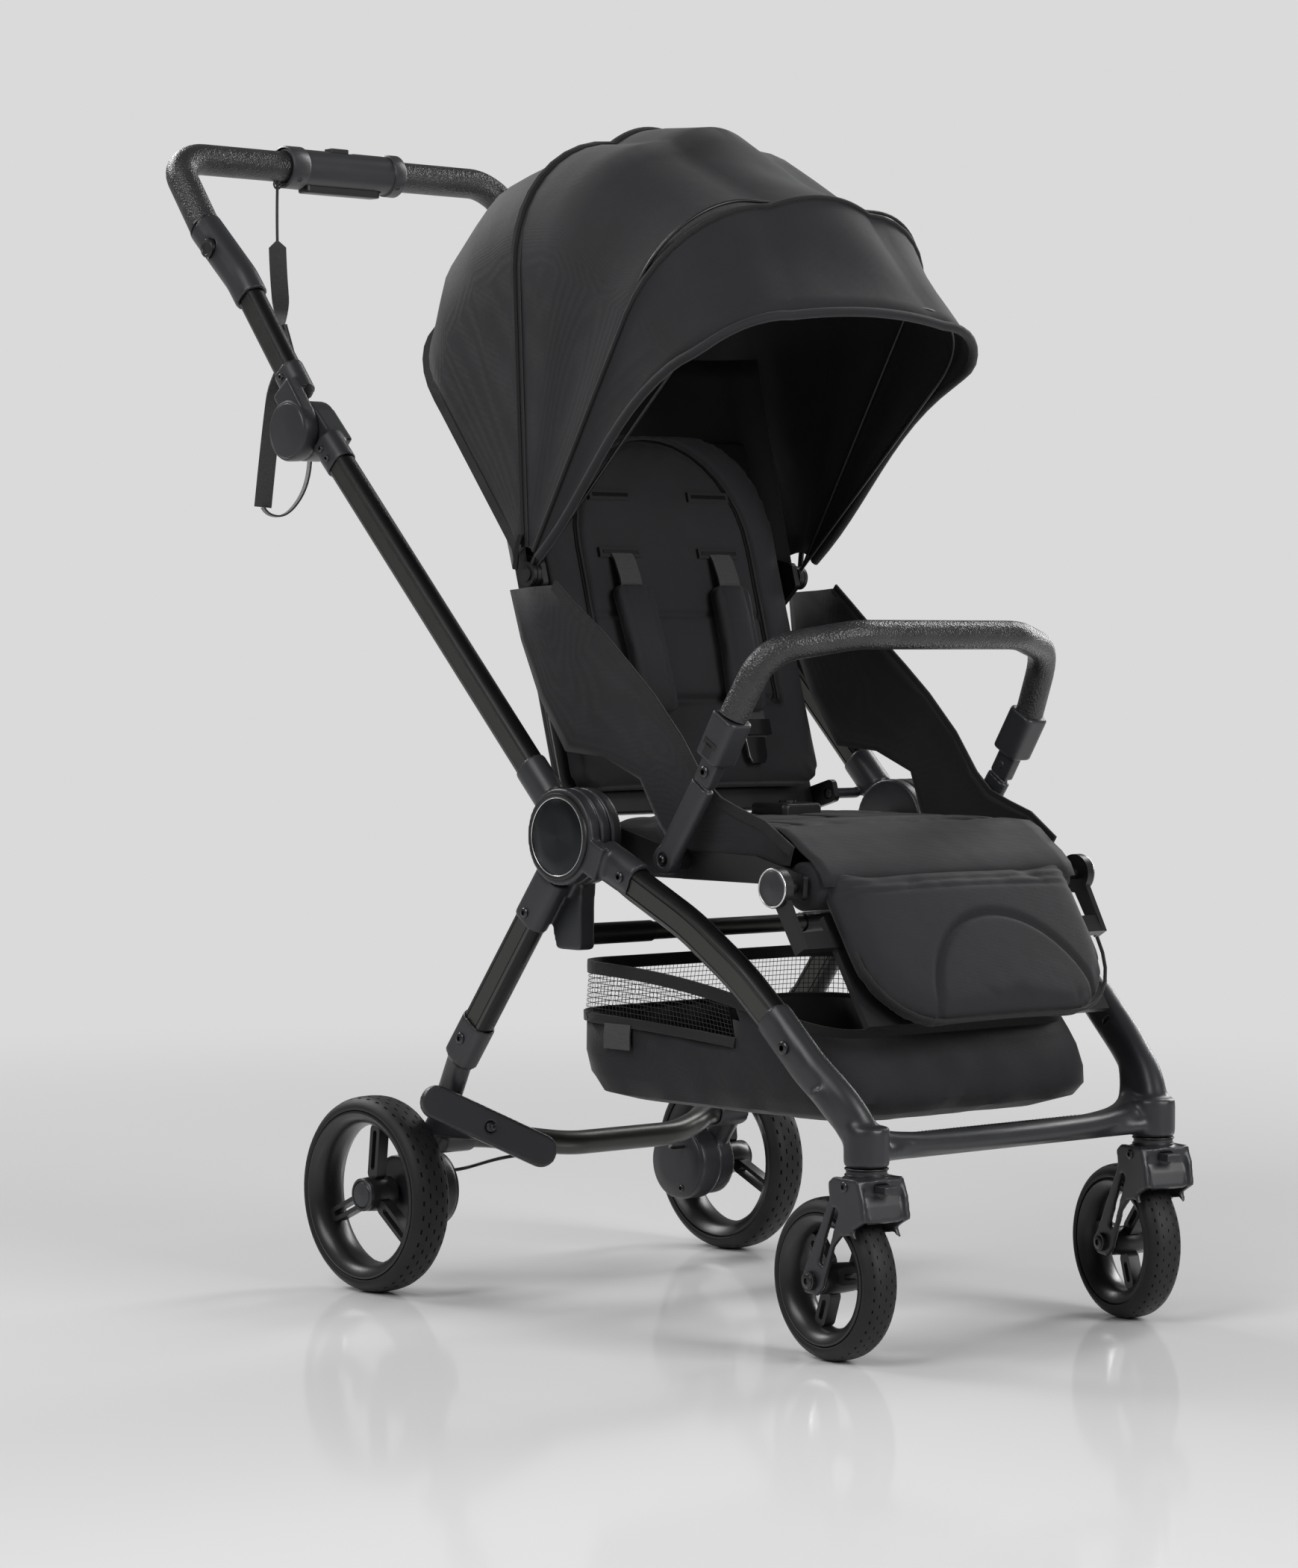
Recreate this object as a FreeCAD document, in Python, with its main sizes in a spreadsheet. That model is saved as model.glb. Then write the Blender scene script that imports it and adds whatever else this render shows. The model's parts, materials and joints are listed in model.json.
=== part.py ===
"""Folding baby stroller: frame, wheels, seat, canopy and basket as a parametric document.

Frame of the model: +Z up, floor at z = 0, front towards -Y, symmetric about X = 0.
Pieces are drawn for the child's right side (x < 0) and copied to the left.
"""

import FreeCAD, Part
import math
import os

import Sketcher

Vector = FreeCAD.Vector
Placement = FreeCAD.Placement
Rotation = FreeCAD.Rotation

doc = FreeCAD.newDocument("Stroller")

# ---------------------------------------------------------------------------
# Driving dimensions
# ---------------------------------------------------------------------------
DIMENSIONS = {
    "running_clearance": 0.05,
    "layer_gap": 0.3,
    # wheels and axles
    "rear_axle_y": 132.91,
    "rear_wheel_radius": 89.0,
    "rear_tyre_width": 40.0,
    "rear_track_half": 219.0,
    "front_wheel_radius": 67.7,
    "front_tyre_width": 34.0,
    "tyre_band": 12.0,
    "rim_band": 17.0,
    "spoke_width": 13.0,
    "axle_radius": 5.0,
    "caster_track_half": 174.0,
    "caster_ahead": 589.3,
    "caster_trail": 41.0,
    "caster_turn_right": 5.7,
    "caster_turn_left": 14.2,
    "caster_collar_height": 163.0,
    "stem_radius": 6.0,
    "stem_length": 28.0,
    # tubes and hub
    "tube_plane": 200.0,
    "leg_tube_height": 30.0,
    "handle_tube_height": 27.0,
    "tube_thickness": 20.0,
    "sleeve_wall": 2.4,
    "hub_ahead": 254.0,
    "hub_height": 422.0,
    "hub_radius": 42.0,
    "hub_outer_face": 218.0,
    "hub_layer": 12.0,
    "cover_radius": 38.0,
    "cover_thickness": 4.0,
    "pivot_radius": 6.0,
    # handle
    "fold_joint_behind": 118.0,
    "fold_joint_height": 795.0,
    "fold_joint_offset": 15.0,
    "fold_disc_radius": 28.0,
    "handle_behind": 338.0,
    "handle_height": 1054.0,
    "grip_radius": 15.0,
    "grip_housing_length": 138.0,
    # seat
    "seat_half_width": 158.0,
    "seat_height": 432.0,
    "seat_pad_thickness": 34.0,
    "seat_board_thickness": 9.0,
    "backrest_lean": 16.0,
    "backrest_length": 347.0,
    "backrest_pad_thickness": 28.0,
    "backrest_half_width": 150.0,
    "wing_plane": 168.0,
    "wing_thickness": 4.0,
    # canopy
    "canopy_half_width": 172.0,
    "canopy_skin": 2.5,
    "canopy_pivot_ahead": 150.0,
    "canopy_pivot_height": 650.0,
    # bumper bar
    "bumper_plane": 180.0,
    "bumper_bar_height": 24.0,
    # footrest
    "footrest_ahead": 490.0,
    "footrest_height": 387.0,
    "footrest_slope": 58.4,
    "footrest_length": 150.0,
    # basket
    "basket_half_width": 160.0,
    "basket_rim_height": 306.0,
    "basket_floor_height": 186.0,
    "basket_wall": 3.0,
}

sheet = doc.addObject("Spreadsheet::Sheet", "Sizes")
for row, (alias, value) in enumerate(DIMENSIONS.items(), start=1):
    sheet.set(f"A{row}", alias)
    sheet.set(f"B{row}", str(value))
    sheet.setAlias(f"B{row}", alias)
doc.recompute()


def size(alias):
    """A driving dimension, read back from the sheet."""
    return float(getattr(sheet, alias))


nodes = []


def keep(obj, label):
    """Name an object as a finished piece."""
    obj.Label = label
    nodes.append(obj)
    return obj


# ---------------------------------------------------------------------------
# Small builders
# ---------------------------------------------------------------------------
X_AXIS = Vector(1, 0, 0)


def feature(label, shape, place=Placement()):
    """A finished piece whose shape is computed here, then put in its place."""
    obj = doc.addObject("Part::Feature", label)
    obj.Shape = shape
    obj.Placement = place
    return keep(obj, label)


def fused(shapes):
    """One clean solid from overlapping solids."""
    first, rest = shapes[0], shapes[1:]
    return first.fuse(rest).removeSplitter() if rest else first


def mirrored(shape):
    """The same shape on the other side of the middle plane."""
    return shape.mirror(Vector(0, 0, 0), X_AXIS)


def both_sides(shape):
    return Part.makeCompound([shape, mirrored(shape)])


def cylinder_x(radius, x_from, x_to, y, z):
    """A cylinder along X between two planes."""
    low = min(x_from, x_to)
    return Part.makeCylinder(radius, abs(x_to - x_from), Vector(low, y, z), X_AXIS)


def plate_x(points, x_from, x_to):
    """A flat plate: a closed outline in the YZ plane, extruded along X."""
    low = min(x_from, x_to)
    wire = Part.makePolygon([Vector(low, y, z) for y, z in points + points[:1]])
    return Part.Face(wire).extrude(Vector(abs(x_to - x_from), 0, 0))


def rounded_plate_x(points, x_from, x_to, radius):
    """A plate along X with its upleft corner edges rounded."""
    plate = plate_x(points, x_from, x_to)
    edges = [e for e in plate.Edges if abs(e.tangentAt(e.FirstParameter).x) > 0.99]
    return plate.makeFillet(radius, edges)


def rounded_path(points, bend):
    """Straight runs joined by tangent arcs; bend is the arc radius at each inner corner."""
    points = [Vector(*p) for p in points]
    edges, start = [], points[0]
    for before, corner, after in zip(points, points[1:], points[2:]):
        come = (corner - before).normalize()
        leave = (after - corner).normalize()
        turn = come.getAngle(leave)
        if turn < math.radians(0.5):
            continue
        reach = bend * math.tan(turn / 2)
        reach = min(reach, 0.45 * (corner - before).Length, 0.45 * (after - corner).Length)
        radius = reach / math.tan(turn / 2)
        inward = (leave - come).normalize()
        centre = corner + inward * (radius / math.cos(turn / 2))
        first, last = corner - come * reach, corner + leave * reach
        middle = centre - inward * radius
        if (first - start).Length > 1e-6:
            edges.append(Part.makeLine(start, first))
        edges.append(Part.Arc(first, middle, last).toShape())
        start = last
    edges.append(Part.makeLine(start, points[-1]))
    return Part.Wire(edges)


def oval_wire(centre, direction, height, thickness, across):
    """A stadium outline square to direction; across is the thin way."""
    direction = Vector(direction).normalize()
    across = Vector(across)
    across = (across - direction * across.dot(direction)).normalize()
    tall = direction.cross(across).normalize()
    round_radius = thickness / 2 * 0.98
    flat = height / 2 - round_radius
    side = thickness / 2

    def at(a, b):
        return centre + across * a + tall * b

    top = Part.Arc(at(-side, flat), at(0, height / 2), at(side, flat)).toShape()
    bottom = Part.Arc(at(side, -flat), at(0, -height / 2), at(-side, -flat)).toShape()
    one_side = Part.makeLine(at(side, flat), at(side, -flat))
    other_side = Part.makeLine(at(-side, -flat), at(-side, flat))
    return Part.Wire([top, one_side, bottom, other_side])


def swept(path, profile):
    """A solid swept along a path of lines and tangent arcs."""
    shell = Part.BRepOffsetAPI.MakePipeShell(path)
    shell.setFrenetMode(False)
    shell.add(profile)
    shell.setTransitionMode(1)
    shell.build()
    shell.makeSolid()
    return shell.shape()


def oval_tube(points, bend, height, thickness, across=X_AXIS):
    """A bar of stadium section along a route."""
    path = rounded_path(points, bend)
    start = Vector(*points[0])
    heading = Vector(*points[1]) - start
    return swept(path, oval_wire(start, heading, height, thickness, across))


def round_tube(points, bend, radius):
    """A round bar along a route."""
    path = rounded_path(points, bend)
    start = Vector(*points[0])
    heading = Vector(*points[1]) - start
    circle = Part.Wire([Part.makeCircle(radius, start, heading)])
    return swept(path, circle)


def along(origin, angle_deg, distance, offset=0.0):
    """(y, z) at a distance from origin along a direction; offset is to its left."""
    angle = math.radians(angle_deg)
    y = origin[0] + distance * math.cos(angle) - offset * math.sin(angle)
    z = origin[1] + distance * math.sin(angle) + offset * math.cos(angle)
    return y, z


def direction_of(origin, target):
    """Angle of a line in the side view, in degrees from +Y towards +Z."""
    return math.degrees(math.atan2(target[1] - origin[1], target[0] - origin[0]))


# ---------------------------------------------------------------------------
# Key places, in the side view (y, z)
# ---------------------------------------------------------------------------
GAP = size("layer_gap")
FIT = size("running_clearance")
REAR_AXLE = (size("rear_axle_y"), size("rear_wheel_radius"))
HUB = (REAR_AXLE[0] - size("hub_ahead"), size("hub_height"))
JOINT = (REAR_AXLE[0] + size("fold_joint_behind"), size("fold_joint_height"))
GRIP = (REAR_AXLE[0] + size("handle_behind"), size("handle_height"))
STEM = (REAR_AXLE[0] - size("caster_ahead"), size("caster_collar_height"))
CANOPY_PIVOT = (REAR_AXLE[0] - size("canopy_pivot_ahead"), size("canopy_pivot_height"))
FOOT_PIVOT = (REAR_AXLE[0] - size("footrest_ahead"), size("footrest_height"))
TUBE_X = -size("tube_plane")
FACE_X = -size("hub_outer_face")
LAYER = size("hub_layer")
RECLINE = (REAR_AXLE[0] - 205, 450.0)
RECLINE_PIN = 5.0
EAR_X = -(size("backrest_half_width") + 7)

HANDLE_ANGLE = direction_of(HUB, JOINT)
REAR_ANGLE = direction_of(HUB, REAR_AXLE)
FRONT_ANGLE = 203.5
SLEEVE_START = size("hub_radius") + 2.0


def socket(origin, angle, start, end, tube_height, offset=0.0):
    """A plain sleeve round the end of a tube in the tube plane."""
    wall = size("sleeve_wall")
    first = along(origin, angle, start, offset)
    last = along(origin, angle, end, offset)
    points = [(TUBE_X, *first), (TUBE_X, *last)]
    return oval_tube(points, 1, tube_height + 2 * wall, size("tube_thickness") + 2 * wall)


def knuckle(layer_from, layer_to, angle, end, tube_height):
    """A hub disc in its own layer, with the sleeve for its tube."""
    radius = size("hub_radius")
    disc = cylinder_x(radius, layer_from, layer_to, *HUB)
    half = tube_height / 2
    arm = [
        along(HUB, angle, 0, half),
        along(HUB, angle, SLEEVE_START + 12, half),
        along(HUB, angle, SLEEVE_START + 12, -half),
        along(HUB, angle, 0, -half),
    ]
    web = plate_x(arm, layer_from, layer_to)
    sleeve = socket(HUB, angle, SLEEVE_START, end, tube_height)
    bore = cylinder_x(size("pivot_radius") + FIT, FACE_X - 5, TUBE_X + 40, *HUB)
    return fused([disc, web, sleeve]).cut(bore)


# ---------------------------------------------------------------------------
# Hub: fixed outer shell, handle knuckle, rear knuckle, cover and pivot bolt
# ---------------------------------------------------------------------------
shell_layer = (FACE_X, FACE_X + LAYER)
handle_layer = (shell_layer[1] + GAP, shell_layer[1] + GAP + LAYER)
rear_layer = (handle_layer[1] + GAP, handle_layer[1] + GAP + LAYER)
BOARD_SIDE = -(size("seat_half_width") + 4)

FRONT_SLEEVE_END = 92.0
HANDLE_SLEEVE_END = 84.0
REAR_SLEEVE_END = 96.0
leg_height = size("leg_tube_height")
handle_tube = size("handle_tube_height")
thickness = size("tube_thickness")

# front legs: one curved tube each, from the hub sleeve to the front casting
front_route = [
    (TUBE_X, *along(HUB, FRONT_ANGLE, 56)),
    (TUBE_X, REAR_AXLE[0] - 332, 385),
    (TUBE_X, REAR_AXLE[0] - 404, 352),
    (TUBE_X + 2, REAR_AXLE[0] - 464, 313),
    (TUBE_X + 6, REAR_AXLE[0] - 510, 272),
    (TUBE_X + 9, REAR_AXLE[0] - 541, 241),
]
front_leg = oval_tube(front_route, 260, leg_height, thickness)

# rear legs: straight tubes towards the rear axle
REAR_TUBE_END = 242.0
rear_route = [
    (TUBE_X, *along(HUB, REAR_ANGLE, 60)),
    (TUBE_X, *along(HUB, REAR_ANGLE, REAR_TUBE_END)),
]
rear_leg = oval_tube(rear_route, 1, leg_height, thickness)

hub_shell = knuckle(*shell_layer, FRONT_ANGLE, FRONT_SLEEVE_END, leg_height).cut(front_leg)
handle_socket = knuckle(*handle_layer, HANDLE_ANGLE, HANDLE_SLEEVE_END, handle_tube)
rear_socket = knuckle(*rear_layer, REAR_ANGLE, REAR_SLEEVE_END, leg_height).cut(rear_leg)

feature("front_legs", both_sides(front_leg))
feature("hub_shells", both_sides(hub_shell))

# hub cover: a turned disc with a raised, rounded rim
cover_body = doc.addObject("PartDesign::Body", "HubCover")


def plane_of(body, role):
    """One of a body's own origin planes."""
    return next(f for f in body.Origin.OriginFeatures if f.Role == role)


def sketch_on(body, role, name):
    """An empty sketch on one of a body's origin planes."""
    sketch = body.newObject("Sketcher::SketchObject", name)
    sketch.AttachmentSupport = [(plane_of(body, role), "")]
    sketch.MapMode = "FlatFace"
    return sketch


def circle_on(sketch, alias, x=0.0, y=0.0):
    """A circle whose radius is bound to a sheet cell."""
    geometry = Part.Circle(Vector(x, y, 0), Vector(0, 0, 1), size(alias))
    index = sketch.addGeometry(geometry)
    number = sketch.addConstraint(Sketcher.Constraint("Radius", index, size(alias)))
    sketch.renameConstraint(number, alias)
    sketch.setExpression(f"Constraints.{alias}", f"Sizes.{alias}")
    return index


cover_sketch = sketch_on(cover_body, "YZ_Plane", "CoverOutline")
circle_on(cover_sketch, "cover_radius")
cover_pad = cover_body.newObject("PartDesign::Pad", "CoverPad")
cover_pad.Profile = cover_sketch
cover_pad.setExpression("Length", "Sizes.cover_thickness")
doc.recompute()
cover_body.Placement = Placement(Vector(FACE_X, *HUB), Rotation(Vector(0, 0, 1), 180))
cover_edge = cover_body.newObject("PartDesign::Fillet", "CoverEdge")
outer_edge = max(
    range(1, len(cover_pad.Shape.Edges) + 1),
    key=lambda i: cover_pad.Shape.Edges[i - 1].BoundBox.XMax,
)
cover_edge.Base = (cover_pad, [f"Edge{outer_edge}"])
cover_edge.Radius = 1.2
cover_body.Tip = cover_edge
doc.recompute()
cover_shape = cover_body.Shape.copy()
feature("hub_covers", both_sides(cover_shape))

# pivot bolts: from the outer shell through both knuckles into the seat board
pivot_r = size("pivot_radius")
bolt = fused(
    [
        cylinder_x(pivot_r, FACE_X, BOARD_SIDE + 4, *HUB),
        cylinder_x(pivot_r + 4, rear_layer[1] + GAP, BOARD_SIDE, *HUB),
    ]
)
feature("pivot_bolts", both_sides(bolt))

# ---------------------------------------------------------------------------
# Front casting: two sockets, a tread crossbar and two caster barrels
# ---------------------------------------------------------------------------
STEM_X = -size("caster_track_half")
wall = size("sleeve_wall")
upleft = oval_tube(
    [
        (TUBE_X + 5, REAR_AXLE[0] - 498, 283),
        (TUBE_X + 8.5, REAR_AXLE[0] - 541, 241),
        (TUBE_X + 17, REAR_AXLE[0] - 572, 212),
        (STEM_X, STEM[0] + 1, STEM[1] + 20),
    ],
    90,
    leg_height + 2 * wall,
    thickness + 2 * wall,
)
BARREL_RADIUS = 19.0
barrel = Part.makeCylinder(BARREL_RADIUS, 34, Vector(STEM_X, STEM[0], STEM[1]))
crossbar_y = REAR_AXLE[0] - 562
crossbar = oval_tube(
    [
        (STEM_X, STEM[0] + 4, STEM[1] + 12),
        (STEM_X + 62, crossbar_y - 4, STEM[1] + 9),
        (-STEM_X - 62, crossbar_y - 4, STEM[1] + 9),
        (-STEM_X, STEM[0] + 4, STEM[1] + 12),
    ],
    220,
    38,
    15,
    across=Vector(0, 0, 1),
)
stem_bore = Part.makeCylinder(
    size("stem_radius") + FIT, size("stem_length") + 1, Vector(STEM_X, STEM[0], STEM[1] - 1)
)
casting = fused([upleft, barrel, mirrored(upleft), mirrored(barrel), crossbar])
casting = casting.cut([stem_bore, mirrored(stem_bore), front_leg, mirrored(front_leg)])
feature("front_casting", casting)

# ---------------------------------------------------------------------------
# Rear frame: sockets, legs, feet, axle tube, cross tube and brakes
# ---------------------------------------------------------------------------
CROSS_TUBE = along(HUB, -76, 90)
CROSS_RADIUS = 8.0
bracket_outer = TUBE_X + thickness / 2 + size("sleeve_wall") + GAP
bracket_inner = bracket_outer + 17
bracket = rounded_plate_x(
    [
        (CROSS_TUBE[0] - 15, CROSS_TUBE[1] - 13),
        (CROSS_TUBE[0] + 17, CROSS_TUBE[1] - 13),
        (CROSS_TUBE[0] + 28, CROSS_TUBE[1] + 22),
        (HUB[0] + 30, HUB[1] - 22),
        (HUB[0] + 4, HUB[1] - 32),
        (CROSS_TUBE[0] - 15, CROSS_TUBE[1] + 24),
    ],
    bracket_outer,
    bracket_inner,
    5,
)
rear_socket = fused([rear_socket, bracket])
feature("rear_sockets", both_sides(rear_socket))
feature("rear_legs", both_sides(rear_leg))

TRACK_X = -size("rear_track_half")
half_tyre = size("rear_tyre_width") / 2
WHEEL_INNER = TRACK_X + half_tyre
STRUT_THICK = 20.0
strut_x = WHEEL_INNER + 3.5 + STRUT_THICK / 2
foot_top = along(HUB, REAR_ANGLE, REAR_TUBE_END - 30)
foot_mid = along(HUB, REAR_ANGLE, REAR_TUBE_END + 14)
foot_low = along(HUB, REAR_ANGLE, 330)
foot_sleeve = oval_tube(
    [(TUBE_X, *foot_top), (TUBE_X, *foot_mid)],
    1,
    leg_height + 2 * wall,
    thickness + 2 * wall,
)
STRUT_HEIGHT = 25.0
foot_strut = oval_tube(
    [
        (TUBE_X, *along(HUB, REAR_ANGLE, REAR_TUBE_END + 2)),
        (TUBE_X, *foot_mid),
        (strut_x, *foot_low),
        (strut_x, *REAR_AXLE),
    ],
    70,
    STRUT_HEIGHT,
    STRUT_THICK,
)
DRUM_RADIUS = 36.0
DRUM_INNER = -150.0
strut_inner = strut_x + STRUT_THICK / 2
axle_boss = cylinder_x(DRUM_RADIUS - 3, strut_x - STRUT_THICK / 2, strut_inner, *REAR_AXLE)
TUBE_END = (REAR_AXLE[0] - 50, 141.0)
axle_lug = cylinder_x(13.5, strut_x, DRUM_INNER, *TUBE_END)
WHEEL_PIN = size("axle_radius")
pin_hole = cylinder_x(WHEEL_PIN, WHEEL_INNER, strut_inner - 1, *REAR_AXLE)

AXLE_TUBE_RADIUS = 11.0
bow_low, bow_ahead = (REAR_AXLE[0] - 74, 137.0), (REAR_AXLE[0] - 90, 131.0)
half_route = [(strut_x + 16, *TUBE_END), (-140, *TUBE_END), (-106, *bow_low), (-66, *bow_ahead)]
axle_route = half_route + [(-x, y, z) for x, y, z in reversed(half_route)]
axle_tube = round_tube(axle_route, 90, AXLE_TUBE_RADIUS)
foot_shapes = [foot_sleeve, foot_strut, axle_boss, axle_lug]
plain_foot = fused(foot_shapes).cut([rear_leg, pin_hole, axle_tube])

# the right foot also carries the brake pedal, a rocker across the front of it
PEDAL_PIVOT = Vector(-170, REAR_AXLE[0] - 102, 155)
PEDAL_YAW = -12.7
PEDAL_TILT = -25.0
PEDAL_HALF_LENGTH = 58.0
PEDAL_HALF_WIDTH = 15.0
PEDAL_THICK = 8.0
PEDAL_PIN = 5.0
pedal_turn = Rotation(Vector(0, 0, 1), PEDAL_YAW)
pedal_place = Placement(PEDAL_PIVOT, pedal_turn)


def pedal_point(across, behind):
    """A point on the pedal's level plane: across its face, and behind it."""
    return pedal_turn.multVec(Vector(across, behind, 0)) + PEDAL_PIVOT


bracket_outline = [
    pedal_point(-15, PEDAL_THICK / 2 + GAP),
    pedal_point(15, PEDAL_THICK / 2 + GAP),
    Vector(strut_inner - 1, REAR_AXLE[0] - 44, PEDAL_PIVOT.z),
    Vector(strut_x - STRUT_THICK / 2 + 1, REAR_AXLE[0] - 52, PEDAL_PIVOT.z),
]
bracket_base = Part.Face(Part.makePolygon(bracket_outline + bracket_outline[:1]))
bracket_base.translate(Vector(0, 0, -12))
pedal_bracket = bracket_base.extrude(Vector(0, 0, 24))
pin_start = pedal_point(0, -PEDAL_THICK / 2 - 2)
pin_heading = pedal_turn.multVec(Vector(0, 1, 0))
pedal_pin = Part.makeCylinder(PEDAL_PIN, PEDAL_THICK + 8, pin_start, pin_heading)
right_foot = fused(foot_shapes + [pedal_bracket, pedal_pin])
right_foot = right_foot.cut([rear_leg, pin_hole, axle_tube])
feature("rear_foot_right", right_foot)
feature("rear_foot_left", mirrored(plain_foot))
cross_tube = cylinder_x(CROSS_RADIUS, bracket_inner, -bracket_inner, *CROSS_TUBE)
feature("rear_tubes", Part.makeCompound([axle_tube, cross_tube]))

drum = cylinder_x(DRUM_RADIUS, strut_inner, DRUM_INNER, *REAR_AXLE)
inner_rim = [e for e in drum.Edges if len(e.Vertexes) == 1 and e.CenterOfMass.x > DRUM_INNER - 0.1]
drum = drum.makeFillet(4, inner_rim)
feature("brake_drums", both_sides(drum.cut([axle_lug, axle_tube, foot_strut])))

# brake cable: held behind the axle tube, from one drum to the other
CABLE_RADIUS = 1.6
cable_behind = AXLE_TUBE_RADIUS + CABLE_RADIUS + 1
cable_half = [
    (DRUM_INNER, REAR_AXLE[0] - 12, REAR_AXLE[1] + 16),
    (DRUM_INNER + 22, REAR_AXLE[0] - 12, REAR_AXLE[1] + 16),
    (-108, bow_low[0] + 30, bow_low[1] - 20),
    (-64, bow_ahead[0] + cable_behind + 4, bow_ahead[1] - 8),
]
cable_route = cable_half + [(-x, y, z) for x, y, z in reversed(cable_half)]
feature("brake_cable", round_tube(cable_route, 60, CABLE_RADIUS))

HUB_CAP_FACE = TRACK_X - 15.0
pin = cylinder_x(WHEEL_PIN, HUB_CAP_FACE + 6, strut_inner - 1, *REAR_AXLE)
feature("rear_axle_pins", both_sides(pin))

# brake pedal: a flat rocker with round ends, made level and then tilted on its pin
tilt = math.radians(PEDAL_TILT)
end_x, end_z = PEDAL_HALF_LENGTH * math.cos(tilt), PEDAL_HALF_LENGTH * math.sin(tilt)
side_x, side_z = -PEDAL_HALF_WIDTH * math.sin(tilt), PEDAL_HALF_WIDTH * math.cos(tilt)
corners = [
    Vector(s * end_x + t * side_x, -PEDAL_THICK / 2, s * end_z + t * side_z)
    for s, t in ((-1, -1), (1, -1), (1, 1), (-1, 1))
]
plate = Part.Face(Part.makePolygon(corners + corners[:1])).extrude(Vector(0, PEDAL_THICK, 0))
forward = Vector(0, 1, 0)
ends = [
    Part.makeCylinder(PEDAL_HALF_WIDTH, PEDAL_THICK, Vector(s * end_x, -PEDAL_THICK / 2, s * end_z), forward)
    for s in (-1, 1)
]
pin_bore = Part.makeCylinder(PEDAL_PIN + FIT, 3 * PEDAL_THICK, Vector(0, -1.5 * PEDAL_THICK, 0), forward)
feature("brake_pedal", fused([plate] + ends).cut(pin_bore), pedal_place)


# ---------------------------------------------------------------------------
# Wheels: a tyre turned from one section, a rim with three slotted spokes
# ---------------------------------------------------------------------------
def closed_profile(sketch, points):
    """A closed outline of straight lines in a sketch."""
    for (x1, y1), (x2, y2) in zip(points, points[1:] + points[:1]):
        sketch.addGeometry(Part.LineSegment(Vector(x1, y1, 0), Vector(x2, y2, 0)))
    count = len(points)
    for i in range(count):
        sketch.addConstraint(Sketcher.Constraint("Coincident", i, 2, (i + 1) % count, 1))


def turned_body(name, points):
    """A body turned about the sketch's vertical axis."""
    body = doc.addObject("PartDesign::Body", name)
    sketch = sketch_on(body, "XY_Plane", name + "Section")
    closed_profile(sketch, points)
    turn = body.newObject("PartDesign::Revolution", name + "Turn")
    turn.Profile = sketch
    turn.ReferenceAxis = (sketch, ["V_Axis"])
    turn.Angle = 360
    doc.recompute()
    return body, turn


def tyre_body(name, radius, width):
    """Tyre: square-shouldered band with bevelled shoulders; the axis is the body's Y."""
    band = size("tyre_band")
    half = width / 2
    inner = radius - band
    shoulder = 0.24 * width
    crown = 0.10 * width
    points = [
        (inner, -half),
        (inner + 0.45 * band, -half),
        (radius - 0.16 * band, -half + shoulder * 0.5),
        (radius, -crown * 2),
        (radius, crown * 2),
        (radius - 0.16 * band, half - shoulder * 0.5),
        (inner + 0.45 * band, half),
        (inner, half),
    ]
    return turned_body(name, points)[0]


def rim_body(name, radius, width, hub_radius, hub_out, hub_in):
    """Rim: outer band, thin web with three windows cut between spokes, and a hub."""
    outer = radius - size("tyre_band") - GAP
    inner = outer - size("rim_band")
    half = width / 2 - 0.5
    web = 5.0
    bore = size("axle_radius") + FIT
    points = [
        (bore, -hub_out),
        (hub_radius, -hub_out),
        (hub_radius, -web),
        (inner, -web),
        (inner, -half + 6),
        (outer, -half),
        (outer, half),
        (inner, half - 6),
        (inner, web),
        (hub_radius, web),
        (hub_radius, hub_in),
        (bore, hub_in),
    ]
    body, turn = turned_body(name, points)
    spoke = size("spoke_width") / 2
    window_in, window_out = hub_radius + 4, inner - 4
    window = sketch_on(body, "XZ_Plane", name + "Window")
    start = math.asin(spoke / window_in)
    start_out = math.asin(spoke / window_out)
    third = math.radians(120)

    def polar(r, a):
        return Vector(r * math.cos(a), r * math.sin(a), 0)

    inner_mid = polar(window_in, third / 2)
    outer_mid = polar(window_out, third / 2)
    a, b = polar(window_in, start), polar(window_in, third - start)
    c, d = polar(window_out, third - start_out), polar(window_out, start_out)
    for edge in (
        Part.Arc(a, inner_mid, b),
        Part.LineSegment(b, c),
        Part.Arc(c, outer_mid, d),
        Part.LineSegment(d, a),
    ):
        window.addGeometry(edge)
    pocket = body.newObject("PartDesign::Pocket", name + "Pocket")
    pocket.Profile = window
    pocket.Type = "ThroughAll"
    pocket.Midplane = True
    doc.recompute()
    pattern = body.newObject("PartDesign::PolarPattern", name + "Pattern")
    pattern.Originals = [pocket]
    pattern.Axis = (plane_axis(body, "Y_Axis"), [""])
    pattern.Angle = 360
    pattern.Occurrences = 3
    body.Tip = pattern
    doc.recompute()
    assert body.Shape.Volume < turn.Shape.Volume * 0.98, name + ": windows cut nothing"
    return body


def plane_axis(body, role):
    """One of a body's own origin axes."""
    return next(f for f in body.Origin.OriginFeatures if f.Role == role)


def wheel_placement(x, y, z, outward, turn=0.0):
    """Body Y towards the inside of the frame; outward is -1 on the right and 1 on the left."""
    spin = Rotation(Vector(0, 0, 1), 90 * outward + turn)
    return Placement(Vector(x, y, z), spin)


for side, outward in (("right", -1), ("left", 1)):
    place = wheel_placement(outward * size("rear_track_half"), *REAR_AXLE, outward)
    tyre = tyre_body(f"RearTyre{side}", size("rear_wheel_radius"), size("rear_tyre_width"))
    tyre.Placement = place
    keep(tyre, f"rear_tyre_{side}")
    rim = rim_body(
        f"RearRim{side}", size("rear_wheel_radius"), size("rear_tyre_width"), 15, 14, 16
    )
    rim.Placement = place
    keep(rim, f"rear_rim_{side}")

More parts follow.
